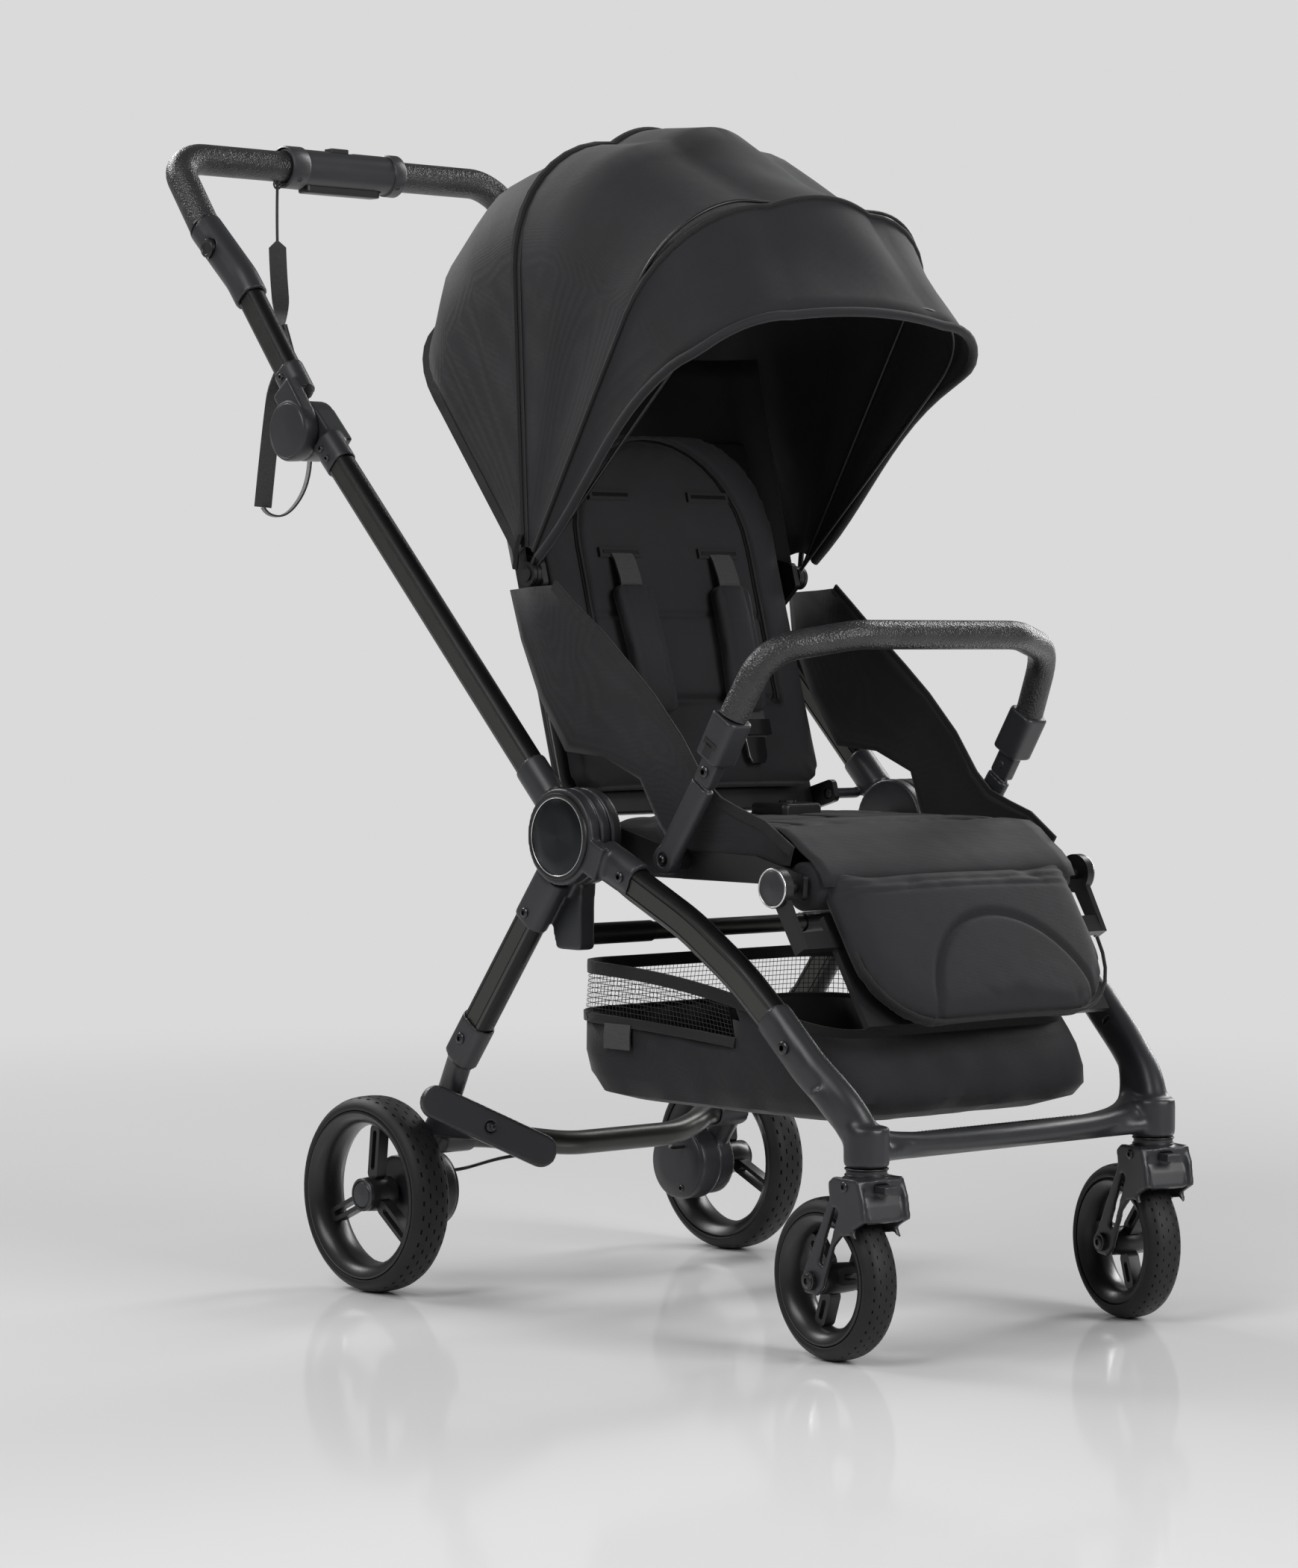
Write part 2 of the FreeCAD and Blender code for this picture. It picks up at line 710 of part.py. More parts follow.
# ---------------------------------------------------------------------------
# Casters: fork, stem, wheel and swivel lock, turned about each stem
# ---------------------------------------------------------------------------
TRAIL = size("caster_trail")
FRONT_R = size("front_wheel_radius")
fork_half = size("front_tyre_width") / 2 + 3
FORK_PLATE = 5.0
side_outline = [
    (TRAIL + 9, FRONT_R - 11),
    (TRAIL + 12, FRONT_R + 4),
    (18, STEM[1] - 26),
    (20, STEM[1] - 12),
    (14, STEM[1] - 7),
    (-18, STEM[1] - 7),
    (-24, STEM[1] - 22),
    (-30, 106),
    (-25, 98),
    (-10, 110),
    (4, 108),
    (14, 98),
    (TRAIL - 14, FRONT_R - 4),
    (TRAIL - 6, FRONT_R - 12),
]
for side, outward in (("right", -1), ("left", 1)):
    turn = -size(f"caster_turn_{side}")
    place = Placement(Vector(outward * -STEM_X, STEM[0], 0), Rotation(Vector(0, 0, 1), turn))
    cheeks = [
        rounded_plate_x(side_outline, s * fork_half, s * (fork_half + FORK_PLATE), 2.5)
        for s in (-1, 1)
    ]
    crown = Part.makeCylinder(19, 17, Vector(0, 0, STEM[1] - 24))
    bridge = Part.makeBox(2 * fork_half + 2, 34, 12, Vector(-fork_half - 1, -20, STEM[1] - 20))
    collar = Part.makeCylinder(17, 7 - GAP, Vector(0, 0, STEM[1] - 7))
    stem = Part.makeCylinder(size("stem_radius"), size("stem_length") + 8, Vector(0, 0, STEM[1] - 9))
    axle_hole = cylinder_x(WHEEL_PIN, -40, 40, TRAIL, FRONT_R)
    lock_slot = Part.makeBox(15, 30, 7, Vector(-7.5, -34, STEM[1] - 19))
    fork = fused(cheeks + [crown, bridge, collar, stem]).cut([axle_hole, lock_slot])
    feature(f"caster_fork_{side}", fork, place)
    axle = fused(
        [
            cylinder_x(WHEEL_PIN, -fork_half - FORK_PLATE - 1, fork_half + FORK_PLATE + 1, TRAIL, FRONT_R),
            cylinder_x(8, -fork_half - FORK_PLATE - 4, -fork_half - FORK_PLATE, TRAIL, FRONT_R),
            cylinder_x(8, fork_half + FORK_PLATE, fork_half + FORK_PLATE + 4, TRAIL, FRONT_R),
        ]
    )
    feature(f"front_axle_{side}", axle, place)
    lock = Part.makeBox(14.2, 26, 6.2, Vector(-7.1, -33, STEM[1] - 18.6))
    feature(f"caster_lock_{side}", lock, place)
    offset = Rotation(Vector(0, 0, 1), turn).multVec(Vector(0, TRAIL, 0))
    wheel_place = wheel_placement(
        outward * -STEM_X + offset.x, STEM[0] + offset.y, FRONT_R, outward, turn
    )
    tyre = tyre_body(f"FrontTyre{side}", FRONT_R, size("front_tyre_width"))
    tyre.Placement = wheel_place
    keep(tyre, f"front_tyre_{side}")
    rim = rim_body(f"FrontRim{side}", FRONT_R, size("front_tyre_width"), 12, fork_half - 1, fork_half - 1)
    rim.Placement = wheel_place
    keep(rim, f"front_rim_{side}")

# ---------------------------------------------------------------------------
# Handle: lower tubes, offset fold joints, upper tubes, sleeves and grip bar
# ---------------------------------------------------------------------------
joint_offset = size("fold_joint_offset")
disc_radius = size("fold_disc_radius")
PIVOT = along(JOINT, HANDLE_ANGLE, 0, -joint_offset)
joint_reach = math.dist(HUB, JOINT)
UPPER_ANGLE = 50.9
LUG_START = disc_radius + 2.0
LUG_END = 62.0

recline_stub = cylinder_x(RECLINE_PIN, TUBE_X + 10, EAR_X + 5, *RECLINE)
lower_route = [
    (TUBE_X, *along(HUB, HANDLE_ANGLE, 60)),
    (TUBE_X, *along(HUB, HANDLE_ANGLE, joint_reach - LUG_START - 6)),
]
lower_tube = oval_tube(lower_route, 1, handle_tube, thickness)
handle_socket = fused([handle_socket, recline_stub]).cut(lower_tube)
feature("handle_sockets", both_sides(handle_socket))
feature("lower_tubes", both_sides(lower_tube))

FOLD_FACE = -221.0
outer_half = (FOLD_FACE, FOLD_FACE + 15)
inner_half = (outer_half[1] + GAP, TUBE_X + 17)
PIN_RADIUS = 5.0


def fold_half(layer, angle, tube):
    """Disc, web and sleeve of one half of a fold joint."""
    disc = cylinder_x(disc_radius, *layer, *PIVOT)
    edge = handle_tube / 2
    web = [
        along(PIVOT, angle, 0, joint_offset * SIDE[angle] + edge),
        along(PIVOT, angle, LUG_START + 10, joint_offset * SIDE[angle] + edge),
        along(PIVOT, angle, LUG_START + 10, joint_offset * SIDE[angle] - edge),
        along(PIVOT, angle, 0, joint_offset * SIDE[angle] - edge),
    ]
    sleeve = socket(PIVOT, angle, LUG_START, LUG_END, handle_tube, joint_offset * SIDE[angle])
    return fused([disc, plate_x(web, *layer), sleeve])


DOWN_ANGLE = HANDLE_ANGLE + 180
SIDE = {UPPER_ANGLE: 1, DOWN_ANGLE: -1}
upper_start = along(PIVOT, UPPER_ANGLE, LUG_START + 6, joint_offset)
SLEEVE_LOW = 152.0
SLEEVE_HIGH = 222.0
upper_end = along(PIVOT, UPPER_ANGLE, SLEEVE_LOW + 20, joint_offset)
upper_tube = oval_tube([(TUBE_X, *upper_start), (TUBE_X, *upper_end)], 1, handle_tube, thickness)
pin_shape = cylinder_x(PIN_RADIUS, outer_half[0] + 2, inner_half[0] + 4, *PIVOT)
pin_bore = cylinder_x(PIN_RADIUS + FIT, outer_half[0] - 5, outer_half[1] + 5, *PIVOT)
lower_half = fused([fold_half(inner_half, DOWN_ANGLE, lower_tube), pin_shape]).cut(lower_tube)
upper_half = fold_half(outer_half, UPPER_ANGLE, upper_tube).cut([upper_tube, pin_bore])
feature("fold_joint_lower", both_sides(lower_half))
feature("fold_joint_upper", both_sides(upper_half))
feature("upper_tubes", both_sides(upper_tube))

sleeve_bottom = along(PIVOT, UPPER_ANGLE, SLEEVE_LOW, joint_offset)
sleeve_top = (REAR_AXLE[0] + 287, 983.0)
sleeve_route = [(TUBE_X, *sleeve_bottom), (TUBE_X, *along(PIVOT, UPPER_ANGLE, SLEEVE_LOW + 24, joint_offset))]
sleeve_route.append((TUBE_X, *sleeve_top))
sleeve = oval_tube(sleeve_route, 60, 34, 29)
BUTTON_RADIUS = 9.0
button_at = (REAR_AXLE[0] + 262, 961.0)
button_face = TUBE_X - 14.5
button_pocket = cylinder_x(BUTTON_RADIUS, button_face - 5, button_face + 7, *button_at)

grip_points = [
    (TUBE_X, *sleeve_top),
    (TUBE_X, REAR_AXLE[0] + 330, 1040),
    (TUBE_X + 22, *GRIP),
    (-TUBE_X - 22, *GRIP),
    (-TUBE_X, REAR_AXLE[0] + 330, 1040),
    (-TUBE_X, *sleeve_top),
]
housing_half = size("grip_housing_length") / 2
grip_radius = size("grip_radius")
HOUSING_RADIUS = 19.0
LEVER_LENGTH = 92.0
LEVER_WIDTH = 16.0
LEVER_TRAVEL = 5.0
SLIDE_LENGTH = 22.0
SLIDE_TRAVEL = 6.0
SLIDE_WIDTH = 11.0
lever_top = GRIP[1] - grip_radius + 1
lever_slot = Part.makeBox(
    LEVER_LENGTH + 1,
    LEVER_WIDTH + 1,
    20,
    Vector(-(LEVER_LENGTH + 1) / 2, GRIP[0] - (LEVER_WIDTH + 1) / 2, lever_top + LEVER_TRAVEL + 0.5 - 20),
)
slide_seat = GRIP[1] + HOUSING_RADIUS - 2
slide_slot = Part.makeBox(
    SLIDE_LENGTH + SLIDE_TRAVEL + 1,
    SLIDE_WIDTH + 1,
    10,
    Vector(-(SLIDE_LENGTH + SLIDE_TRAVEL + 1) / 2, GRIP[0] - (SLIDE_WIDTH + 1) / 2, slide_seat),
)
grip_bar = round_tube(grip_points, 46, grip_radius).cut(lever_slot)
feature("grip_bar", grip_bar)
feature("handle_sleeves", both_sides(sleeve.cut([upper_tube, button_pocket, grip_bar])))

housing = cylinder_x(HOUSING_RADIUS, -housing_half, housing_half, *GRIP)
end_edges = [e for e in housing.Edges if len(e.Vertexes) == 1]
housing = housing.makeFillet(3, end_edges)
through = cylinder_x(grip_radius, -housing_half - 5, housing_half + 5, *GRIP)
feature("grip_housing", housing.cut([through, lever_slot, slide_slot]))
lever = Part.makeBox(
    LEVER_LENGTH, LEVER_WIDTH, 10, Vector(-LEVER_LENGTH / 2, GRIP[0] - LEVER_WIDTH / 2, lever_top - 10)
)
lever = lever.makeFillet(3, [e for e in lever.Edges if abs(e.tangentAt(0).z) > 0.9])
feature("squeeze_lever", lever)
slide_start = -(SLIDE_LENGTH + SLIDE_TRAVEL) / 2
lock_slide = Part.makeBox(
    SLIDE_LENGTH, SLIDE_WIDTH, 5, Vector(slide_start, GRIP[0] - SLIDE_WIDTH / 2, slide_seat + 0.1)
)
feature("lock_slide", lock_slide)
cap = cylinder_x(BUTTON_RADIUS, button_face - 1.5, button_face + 7, *button_at)
feature("sleeve_caps", both_sides(cap))

# wrist strap: webbing hung from the right end of the grip housing
STRAP_X = -housing_half - 7
STRAP_RADIUS = 3.0
strap_top = GRIP[1] - grip_radius - 0.3
strap_points = [
    (STRAP_X, GRIP[0], strap_top),
    (STRAP_X - 1, GRIP[0] + 1, strap_top - 60),
    (STRAP_X + 5, GRIP[0] - 3, strap_top - 150),
    (STRAP_X - 5, GRIP[0] + 4, strap_top - 235),
    (STRAP_X - 12, GRIP[0] + 8, strap_top - 318),
]
feature("wrist_strap", round_tube(strap_points, 900, STRAP_RADIUS))

# ---------------------------------------------------------------------------
# Seat: board, pad, side wings, crotch strap and buckle
# ---------------------------------------------------------------------------
SEAT_W = size("seat_half_width")
SEAT_TOP = size("seat_height")
pad_t = size("seat_pad_thickness")
board_t = size("seat_board_thickness")
SEAT_FRONT = FOOT_PIVOT[0] + 27
SEAT_BACK = HUB[0] + 26
board_top = SEAT_TOP - pad_t - 1
board = Part.makeBox(
    2 * (SEAT_W + 2), SEAT_BACK - SEAT_FRONT, board_t, Vector(-SEAT_W - 2, SEAT_FRONT + 2, board_top - board_t)
)
ARM_PIVOT = (REAR_AXLE[0] - 352, 405.0)
ARM_PIN = 6.0
BUMPER_X = -size("bumper_plane")
ARM_THICK = 12.0
arm_layer = (BUMPER_X - ARM_THICK / 2, BUMPER_X + ARM_THICK / 2)
cheek = rounded_plate_x(
    [
        (SEAT_FRONT + 10, board_top - board_t),
        (FOOT_PIVOT[0] - 10, FOOT_PIVOT[1] - 12),
        (FOOT_PIVOT[0] - 12, FOOT_PIVOT[1] + 10),
        (SEAT_FRONT + 20, board_top + 14),
        (ARM_PIVOT[0] + 16, ARM_PIVOT[1] + 8),
        (HUB[0] + 14, HUB[1] + 14),
        (HUB[0] + 20, HUB[1] - 16),
        (ARM_PIVOT[0], board_top - board_t),
    ],
    BOARD_SIDE,
    BOARD_SIDE + 5,
    4,
)
foot_stub = cylinder_x(PIN_RADIUS, BOARD_SIDE + 2, -186, *FOOT_PIVOT)
arm_stub = cylinder_x(ARM_PIN, BOARD_SIDE + 2, arm_layer[0] + 2, *ARM_PIVOT)
arm_spacer = cylinder_x(10, BOARD_SIDE + 2, arm_layer[1] + GAP, *ARM_PIVOT)
side_frame = fused([cheek, foot_stub, arm_stub, arm_spacer])
feature("seat_board", fused([board, side_frame, mirrored(side_frame)]).cut([bolt, mirrored(bolt)]))

seat_pad = Part.makeBox(
    2 * (SEAT_W - 2), SEAT_BACK - SEAT_FRONT, pad_t, Vector(-SEAT_W + 2, SEAT_FRONT, SEAT_TOP - pad_t)
)
seat_pad = seat_pad.makeFillet(10, [e for e in seat_pad.Edges if e.CenterOfMass.z > SEAT_TOP - 1])
feature("seat_pad", seat_pad)

WING_X = -size("wing_plane")
wing_t = size("wing_thickness")
wing = rounded_plate_x(
    [
        (REAR_AXLE[0] - 385, 448),
        (REAR_AXLE[0] - 372, 486),
        (REAR_AXLE[0] - 288, 568),
        (REAR_AXLE[0] - 205, 628),
        (REAR_AXLE[0] - 170, 628),
        (REAR_AXLE[0] - 205, 470),
        (REAR_AXLE[0] - 216, 440),
    ],
    WING_X - wing_t / 2,
    WING_X + wing_t / 2,
    8,
)
RECLINE_CLEAR = 64.0
wing = wing.cut(cylinder_x(RECLINE_CLEAR, WING_X - 10, WING_X + 10, *HUB))
feature("side_wings", both_sides(wing))

BUCKLE_Y = REAR_AXLE[0] - 318
buckle_bottom = SEAT_TOP + 2
crotch = Part.makeBox(40, 62, 8, Vector(-20, BUCKLE_Y - 78, SEAT_TOP + GAP))
feature("crotch_strap", crotch.makeFillet(3, [e for e in crotch.Edges if e.CenterOfMass.z > SEAT_TOP + 8]))
buckle = Part.makeBox(50, 46, 15, Vector(-25, BUCKLE_Y - 14, buckle_bottom))
buckle = buckle.makeFillet(5, [e for e in buckle.Edges if abs(e.tangentAt(0).z) > 0.9])
buckle_bore = Part.makeCylinder(8 + FIT, 8, Vector(0, BUCKLE_Y + 8, buckle_bottom + 9))
feature("buckle", buckle.cut(buckle_bore))
feature("buckle_button", Part.makeCylinder(8, 5, Vector(0, BUCKLE_Y + 8, buckle_bottom + 11.5)))

# ---------------------------------------------------------------------------
# Backrest: board, pad and shoulder straps, leaning back from the seat
# ---------------------------------------------------------------------------
LEAN = 90 - size("backrest_lean")
BACK_FOOT = (REAR_AXLE[0] - 205, 480.0)
back_w = size("backrest_half_width")
back_t = size("backrest_pad_thickness")
low_end, high_end = -25.0, size("backrest_length") - 25.0


def back_slab(half_width, s_from, s_to, depth_from, depth_to, edge):
    """A slab in the backrest's own plane: s runs up the back, depth runs behind it."""
    outline = [
        along(BACK_FOOT, LEAN, s_from, -depth_from),
        along(BACK_FOOT, LEAN, s_to, -depth_from),
        along(BACK_FOOT, LEAN, s_to, -depth_to),
        along(BACK_FOOT, LEAN, s_from, -depth_to),
    ]
    slab = plate_x(outline, -half_width, half_width)
    return slab.makeFillet(edge, slab.Edges) if edge else slab


feature("back_pad", back_slab(back_w, low_end, high_end, 0, back_t, 9))
CANOPY_PIN = 4.0
back_board = back_slab(back_w + 4, low_end - 12, high_end - 4, back_t + 1, back_t + 9, 3)
ear_outline = [
    along(CANOPY_PIVOT, LEAN, -26, -(back_t - 6)),
    along(CANOPY_PIVOT, LEAN, -11, 9),
    along(CANOPY_PIVOT, LEAN, 11, 9),
    along(CANOPY_PIVOT, LEAN, 26, -(back_t - 6)),
]
ear = rounded_plate_x(ear_outline, EAR_X, EAR_X + 6, 5)
canopy_pin = cylinder_x(CANOPY_PIN, EAR_X + 2, EAR_X - 12, *CANOPY_PIVOT)
recline_boss = rounded_plate_x(
    [
        along(RECLINE, LEAN, -9, 9),
        along(RECLINE, LEAN, 12, 9),
        along(RECLINE, LEAN, 12, -(back_t + 0)),
        along(RECLINE, LEAN, -9, -(back_t + 0)),
    ],
    EAR_X,
    EAR_X + 6,
    5,
)
recline_bore = cylinder_x(RECLINE_PIN + FIT, EAR_X - 5, EAR_X + 10, *RECLINE)
side_parts = fused([ear, canopy_pin, recline_boss]).cut(recline_bore)
feature("back_board", fused([back_board, side_parts, mirrored(side_parts)]))
strap_slabs = []
for strap_x in (-60.0, 60.0):
    slab = back_slab(21, 32, 170, -14, -GAP, 4)
    slab.translate(Vector(strap_x, 0, 0))
    strap_slabs.append(slab)
feature("shoulder_straps", Part.makeCompound(strap_slabs))


# ---------------------------------------------------------------------------
# Canopy: three fabric panels lofted between bows, and the two moving bows
# ---------------------------------------------------------------------------
def bow_wire(angle, reach, half_width, start, inset):
    """Closed outline of a U-shaped band in the plane through the pivot axis at an angle."""
    skin = size("canopy_skin")
    bend = 95.0
    outer_w, outer_r = half_width - inset, reach - inset
    inner_w, inner_r = outer_w - skin, outer_r - skin

    def at(x, r):
        return Vector(x, *along(CANOPY_PIVOT, angle, r))

    half = math.sqrt(0.5)
    edges = []
    for w, r, b, order in ((outer_w, outer_r, bend, 1), (inner_w, inner_r, bend - skin, -1)):
        corner = [
            Part.makeLine(at(-w * order, start), at(-w * order, r - b)),
            Part.Arc(
                at(-w * order, r - b),
                at(-(w - b * (1 - half)) * order, r - b * (1 - half)),
                at(-(w - b) * order, r),
            ).toShape(),
            Part.makeLine(at(-(w - b) * order, r), at((w - b) * order, r)),
            Part.Arc(
                at((w - b) * order, r),
                at((w - b * (1 - half)) * order, r - b * (1 - half)),
                at(w * order, r - b),
            ).toShape(),
            Part.makeLine(at(w * order, r - b), at(w * order, start)),
        ]
        edges += corner
        edges.append(Part.makeLine(at(w * order, start), at((inner_w if order == 1 else outer_w) * order * 1.0, start)))
    return Part.Wire(Part.__sortEdges__(edges))


CANOPY_W = size("canopy_half_width")
REAR_FLAP = (54.0, 312.0)
REAR_TOP = (74.0, 394.0)
APEX = (99.0, 406.0)
RIDGE = (121.0, 380.0)
BRIM = (139.0, 348.0)


def panel(stations, start=16.0, inset=0.0):
    wires = [bow_wire(angle, reach, CANOPY_W, start, inset) for angle, reach in stations]
    return Part.makeLoft(wires, True, True)


def shifted(station, degrees):
    return (station[0] + degrees, station[1])


PANEL_GAP = 0.4
feature("canopy_rear_panel", panel([REAR_FLAP, REAR_TOP, shifted(APEX, -PANEL_GAP)]))
feature("canopy_mid_panel", panel([APEX, shifted(RIDGE, -PANEL_GAP)]))
feature("canopy_visor", panel([RIDGE, BRIM]))


RIB_RADIUS = 1.6
BUSH_RADIUS = 6.5
EYE_RADIUS = 11.0
MID_RIB_X = EAR_X - 8.5
FRONT_RIB_X = EAR_X - 4.0
BELOW_SKIN = 6.0


def bow(station, rib_x):
    """A flexible rib bent to a U, with an eye at each pivot."""
    angle, reach = station
    low, high = along(CANOPY_PIVOT, angle, EYE_RADIUS - 2), along(CANOPY_PIVOT, angle, reach - BELOW_SKIN)
    half = [(rib_x, *low), (rib_x, *high)]
    route = half + [(-x, y, z) for x, y, z in reversed(half)]
    rib = round_tube(route, 90, RIB_RADIUS)
    sides = []
    for outward in (-1, 1):
        x_mid = outward * abs(rib_x)
        eye = cylinder_x(EYE_RADIUS, x_mid - 1.8, x_mid + 1.8, *CANOPY_PIVOT)
        sides.append(eye.cut(cylinder_x(BUSH_RADIUS + FIT, x_mid - 5, x_mid + 5, *CANOPY_PIVOT)))
    return fused([rib] + sides)


feature("canopy_bow_mid", bow(shifted(RIDGE, -PANEL_GAP), MID_RIB_X))
feature("canopy_bow_front", bow(shifted(BRIM, -2.0), FRONT_RIB_X))
bush = fused(
    [
        cylinder_x(BUSH_RADIUS, EAR_X - GAP, EAR_X - 12, *CANOPY_PIVOT),
        cylinder_x(EYE_RADIUS, EAR_X - GAP, EAR_X - 1.8, *CANOPY_PIVOT),
    ]
)
bush = bush.cut(cylinder_x(CANOPY_PIN + FIT, EAR_X + 5, EAR_X - 20, *CANOPY_PIVOT))
feature("canopy_pivots", both_sides(bush))

# ---------------------------------------------------------------------------
# Bumper bar: two side arms and a padded bar pinned to them
# ---------------------------------------------------------------------------
KNEE = (REAR_AXLE[0] - 405, 481.0)
KNEE_PIN = 4.0
TONGUE = 2.5
arm_angle = direction_of(ARM_PIVOT, KNEE)
arm_length = math.dist(ARM_PIVOT, KNEE)
arm = oval_tube(
    [(BUMPER_X, *ARM_PIVOT), (BUMPER_X, *along(ARM_PIVOT, arm_angle, arm_length - 14))], 1, 25, ARM_THICK
)
arm_eye = cylinder_x(12.5, *arm_layer, *ARM_PIVOT)
tongue = plate_x(
    [
        along(ARM_PIVOT, arm_angle, arm_length - 24, 9),
        along(ARM_PIVOT, arm_angle, arm_length, 9),
        along(ARM_PIVOT, arm_angle, arm_length, -9),
        along(ARM_PIVOT, arm_angle, arm_length - 24, -9),
    ],
    BUMPER_X - TONGUE,
    BUMPER_X + TONGUE,
)
tongue_end = cylinder_x(9, BUMPER_X - TONGUE, BUMPER_X + TONGUE, *KNEE)
knee_pin = cylinder_x(KNEE_PIN, arm_layer[0] - 1, arm_layer[1] + 1, *KNEE)
arm_solid = fused([arm, arm_eye, tongue, tongue_end, knee_pin])
arm_solid = arm_solid.cut(cylinder_x(ARM_PIN + FIT, arm_layer[0] - 5, arm_layer[1] + 5, *ARM_PIVOT))
feature("bumper_arms", both_sides(arm_solid))

bar_h = size("bumper_bar_height")
clamp_top = (REAR_AXLE[0] - 434, 528.0)
clamp_angle = direction_of(KNEE, clamp_top)
bar_half = [
    (BUMPER_X, *along(KNEE, clamp_angle, 14)),
    (BUMPER_X, *clamp_top),
    (BUMPER_X + 10, REAR_AXLE[0] - 463, 584),
    (BUMPER_X + 82, REAR_AXLE[0] - 497, 597),
]
bar_route = bar_half + [(-x, y, z) for x, y, z in reversed(bar_half)]
bar = round_tube(bar_route, 44, bar_h / 2)
ears = []
for outward in (1, -1):
    for near, far in ((-ARM_THICK / 2, -TONGUE - GAP), (TONGUE + GAP, ARM_THICK / 2)):
        x_near, x_far = outward * (BUMPER_X + near), outward * (BUMPER_X + far)
        ears.append(cylinder_x(11, x_near, x_far, *KNEE))
        neck = [
            along(KNEE, clamp_angle, 0, 10),
            along(KNEE, clamp_angle, 22, 10),
            along(KNEE, clamp_angle, 22, -10),
            along(KNEE, clamp_angle, 0, -10),
        ]
        ears.append(plate_x(neck, x_near, x_far))
swing = cylinder_x(11, BUMPER_X - TONGUE - GAP, BUMPER_X + TONGUE + GAP, *KNEE)
pin_clear = cylinder_x(KNEE_PIN + FIT, BUMPER_X - 20, BUMPER_X + 20, *KNEE)
cuts = [swing, mirrored(swing), pin_clear, mirrored(pin_clear)]
feature("bumper_bar", fused([bar] + ears).cut(cuts))

# ---------------------------------------------------------------------------
# Footrest: board with pivot discs, and the padded apron over it
# ---------------------------------------------------------------------------
FOOT_ANGLE = 180 + size("footrest_slope")
foot_reach = size("footrest_length")
APRON_FACE = 23.0
APRON_HALF = 154.0
foot_disc = cylinder_x(17, -186.5, -178.5, *FOOT_PIVOT)
foot_arm = plate_x(
    [
        along(FOOT_PIVOT, FOOT_ANGLE, 0, 8),
        along(FOOT_PIVOT, FOOT_ANGLE, 60, 8),
        along(FOOT_PIVOT, FOOT_ANGLE, 60, -4),
        along(FOOT_PIVOT, FOOT_ANGLE, 0, -8),
    ],
    -184,
    -178.5,
)
foot_hanger = plate_x(
    [
        along(FOOT_PIVOT, FOOT_ANGLE, 44, 4),
        along(FOOT_PIVOT, FOOT_ANGLE, 60, 4),
        along(FOOT_PIVOT, FOOT_ANGLE, 60, -4),
        along(FOOT_PIVOT, FOOT_ANGLE, 44, -4),
    ],
    -184,
    -140,
)
foot_plate = plate_x(
    [
        along(FOOT_PIVOT, FOOT_ANGLE, 30, 3),
        along(FOOT_PIVOT, FOOT_ANGLE, foot_reach - 16, 3),
        along(FOOT_PIVOT, FOOT_ANGLE, foot_reach - 16, -3),
        along(FOOT_PIVOT, FOOT_ANGLE, 30, -3),
    ],
    -146,
    146,
)
footrest = fused([foot_disc, foot_arm, foot_hanger, foot_plate])
footrest = fused([footrest, mirrored(fused([foot_disc, foot_arm, foot_hanger]))])
footrest = footrest.cut(cylinder_x(PIN_RADIUS + FIT, -250, 250, *FOOT_PIVOT))
feature("footrest_board", footrest)
apron_slab = plate_x(
    [
        along(FOOT_PIVOT, FOOT_ANGLE, 0, -APRON_FACE),
        along(FOOT_PIVOT, FOOT_ANGLE, foot_reach, -APRON_FACE),
        along(FOOT_PIVOT, FOOT_ANGLE, foot_reach, -5),
        along(FOOT_PIVOT, FOOT_ANGLE, 0, -5),
    ],
    -APRON_HALF,
    APRON_HALF,
)
apron_roll = cylinder_x(APRON_FACE, -APRON_HALF, APRON_HALF, *FOOT_PIVOT)
roll_core = cylinder_x(9, -APRON_HALF - 1, APRON_HALF + 1, *FOOT_PIVOT)
under_board = plate_x(
    [
        along(FOOT_PIVOT, FOOT_ANGLE, -3, -5),
        along(FOOT_PIVOT, FOOT_ANGLE, 60, -5),
        along(FOOT_PIVOT, FOOT_ANGLE, 60, 40),
        along(FOOT_PIVOT, FOOT_ANGLE, -3, 40),
    ],
    -APRON_HALF - 1,
    APRON_HALF + 1,
)
apron = fused([apron_slab, apron_roll]).cut([roll_core, under_board])
feature("leg_apron", apron)

# ---------------------------------------------------------------------------
# Basket: an open sling between the legs
# ---------------------------------------------------------------------------
rim_z = size("basket_rim_height")
floor_z = size("basket_floor_height")
basket_w = size("basket_half_width")
cloth = size("basket_wall")
outline = [
    (REAR_AXLE[0] - 196, rim_z),
    (REAR_AXLE[0] - 190, floor_z + 40),
    (REAR_AXLE[0] - 212, floor_z),
    (REAR_AXLE[0] - 528, floor_z),
    (REAR_AXLE[0] - 552, floor_z + 22),
    (REAR_AXLE[0] - 530, rim_z - 50),
    (REAR_AXLE[0] - 440, rim_z),
]
inner = [
    (REAR_AXLE[0] - 196 - cloth, rim_z + 5),
    (REAR_AXLE[0] - 190 - cloth, floor_z + 40),
    (REAR_AXLE[0] - 213, floor_z + cloth),
    (REAR_AXLE[0] - 527, floor_z + cloth),
    (REAR_AXLE[0] - 552 + cloth, floor_z + 23),
    (REAR_AXLE[0] - 534 + cloth, rim_z - 40),
    (REAR_AXLE[0] - 530, rim_z + 5),
]
basket = plate_x(outline, -basket_w, basket_w).cut(
    plate_x(inner, -basket_w + cloth, basket_w - cloth)
)
feature("basket", basket)

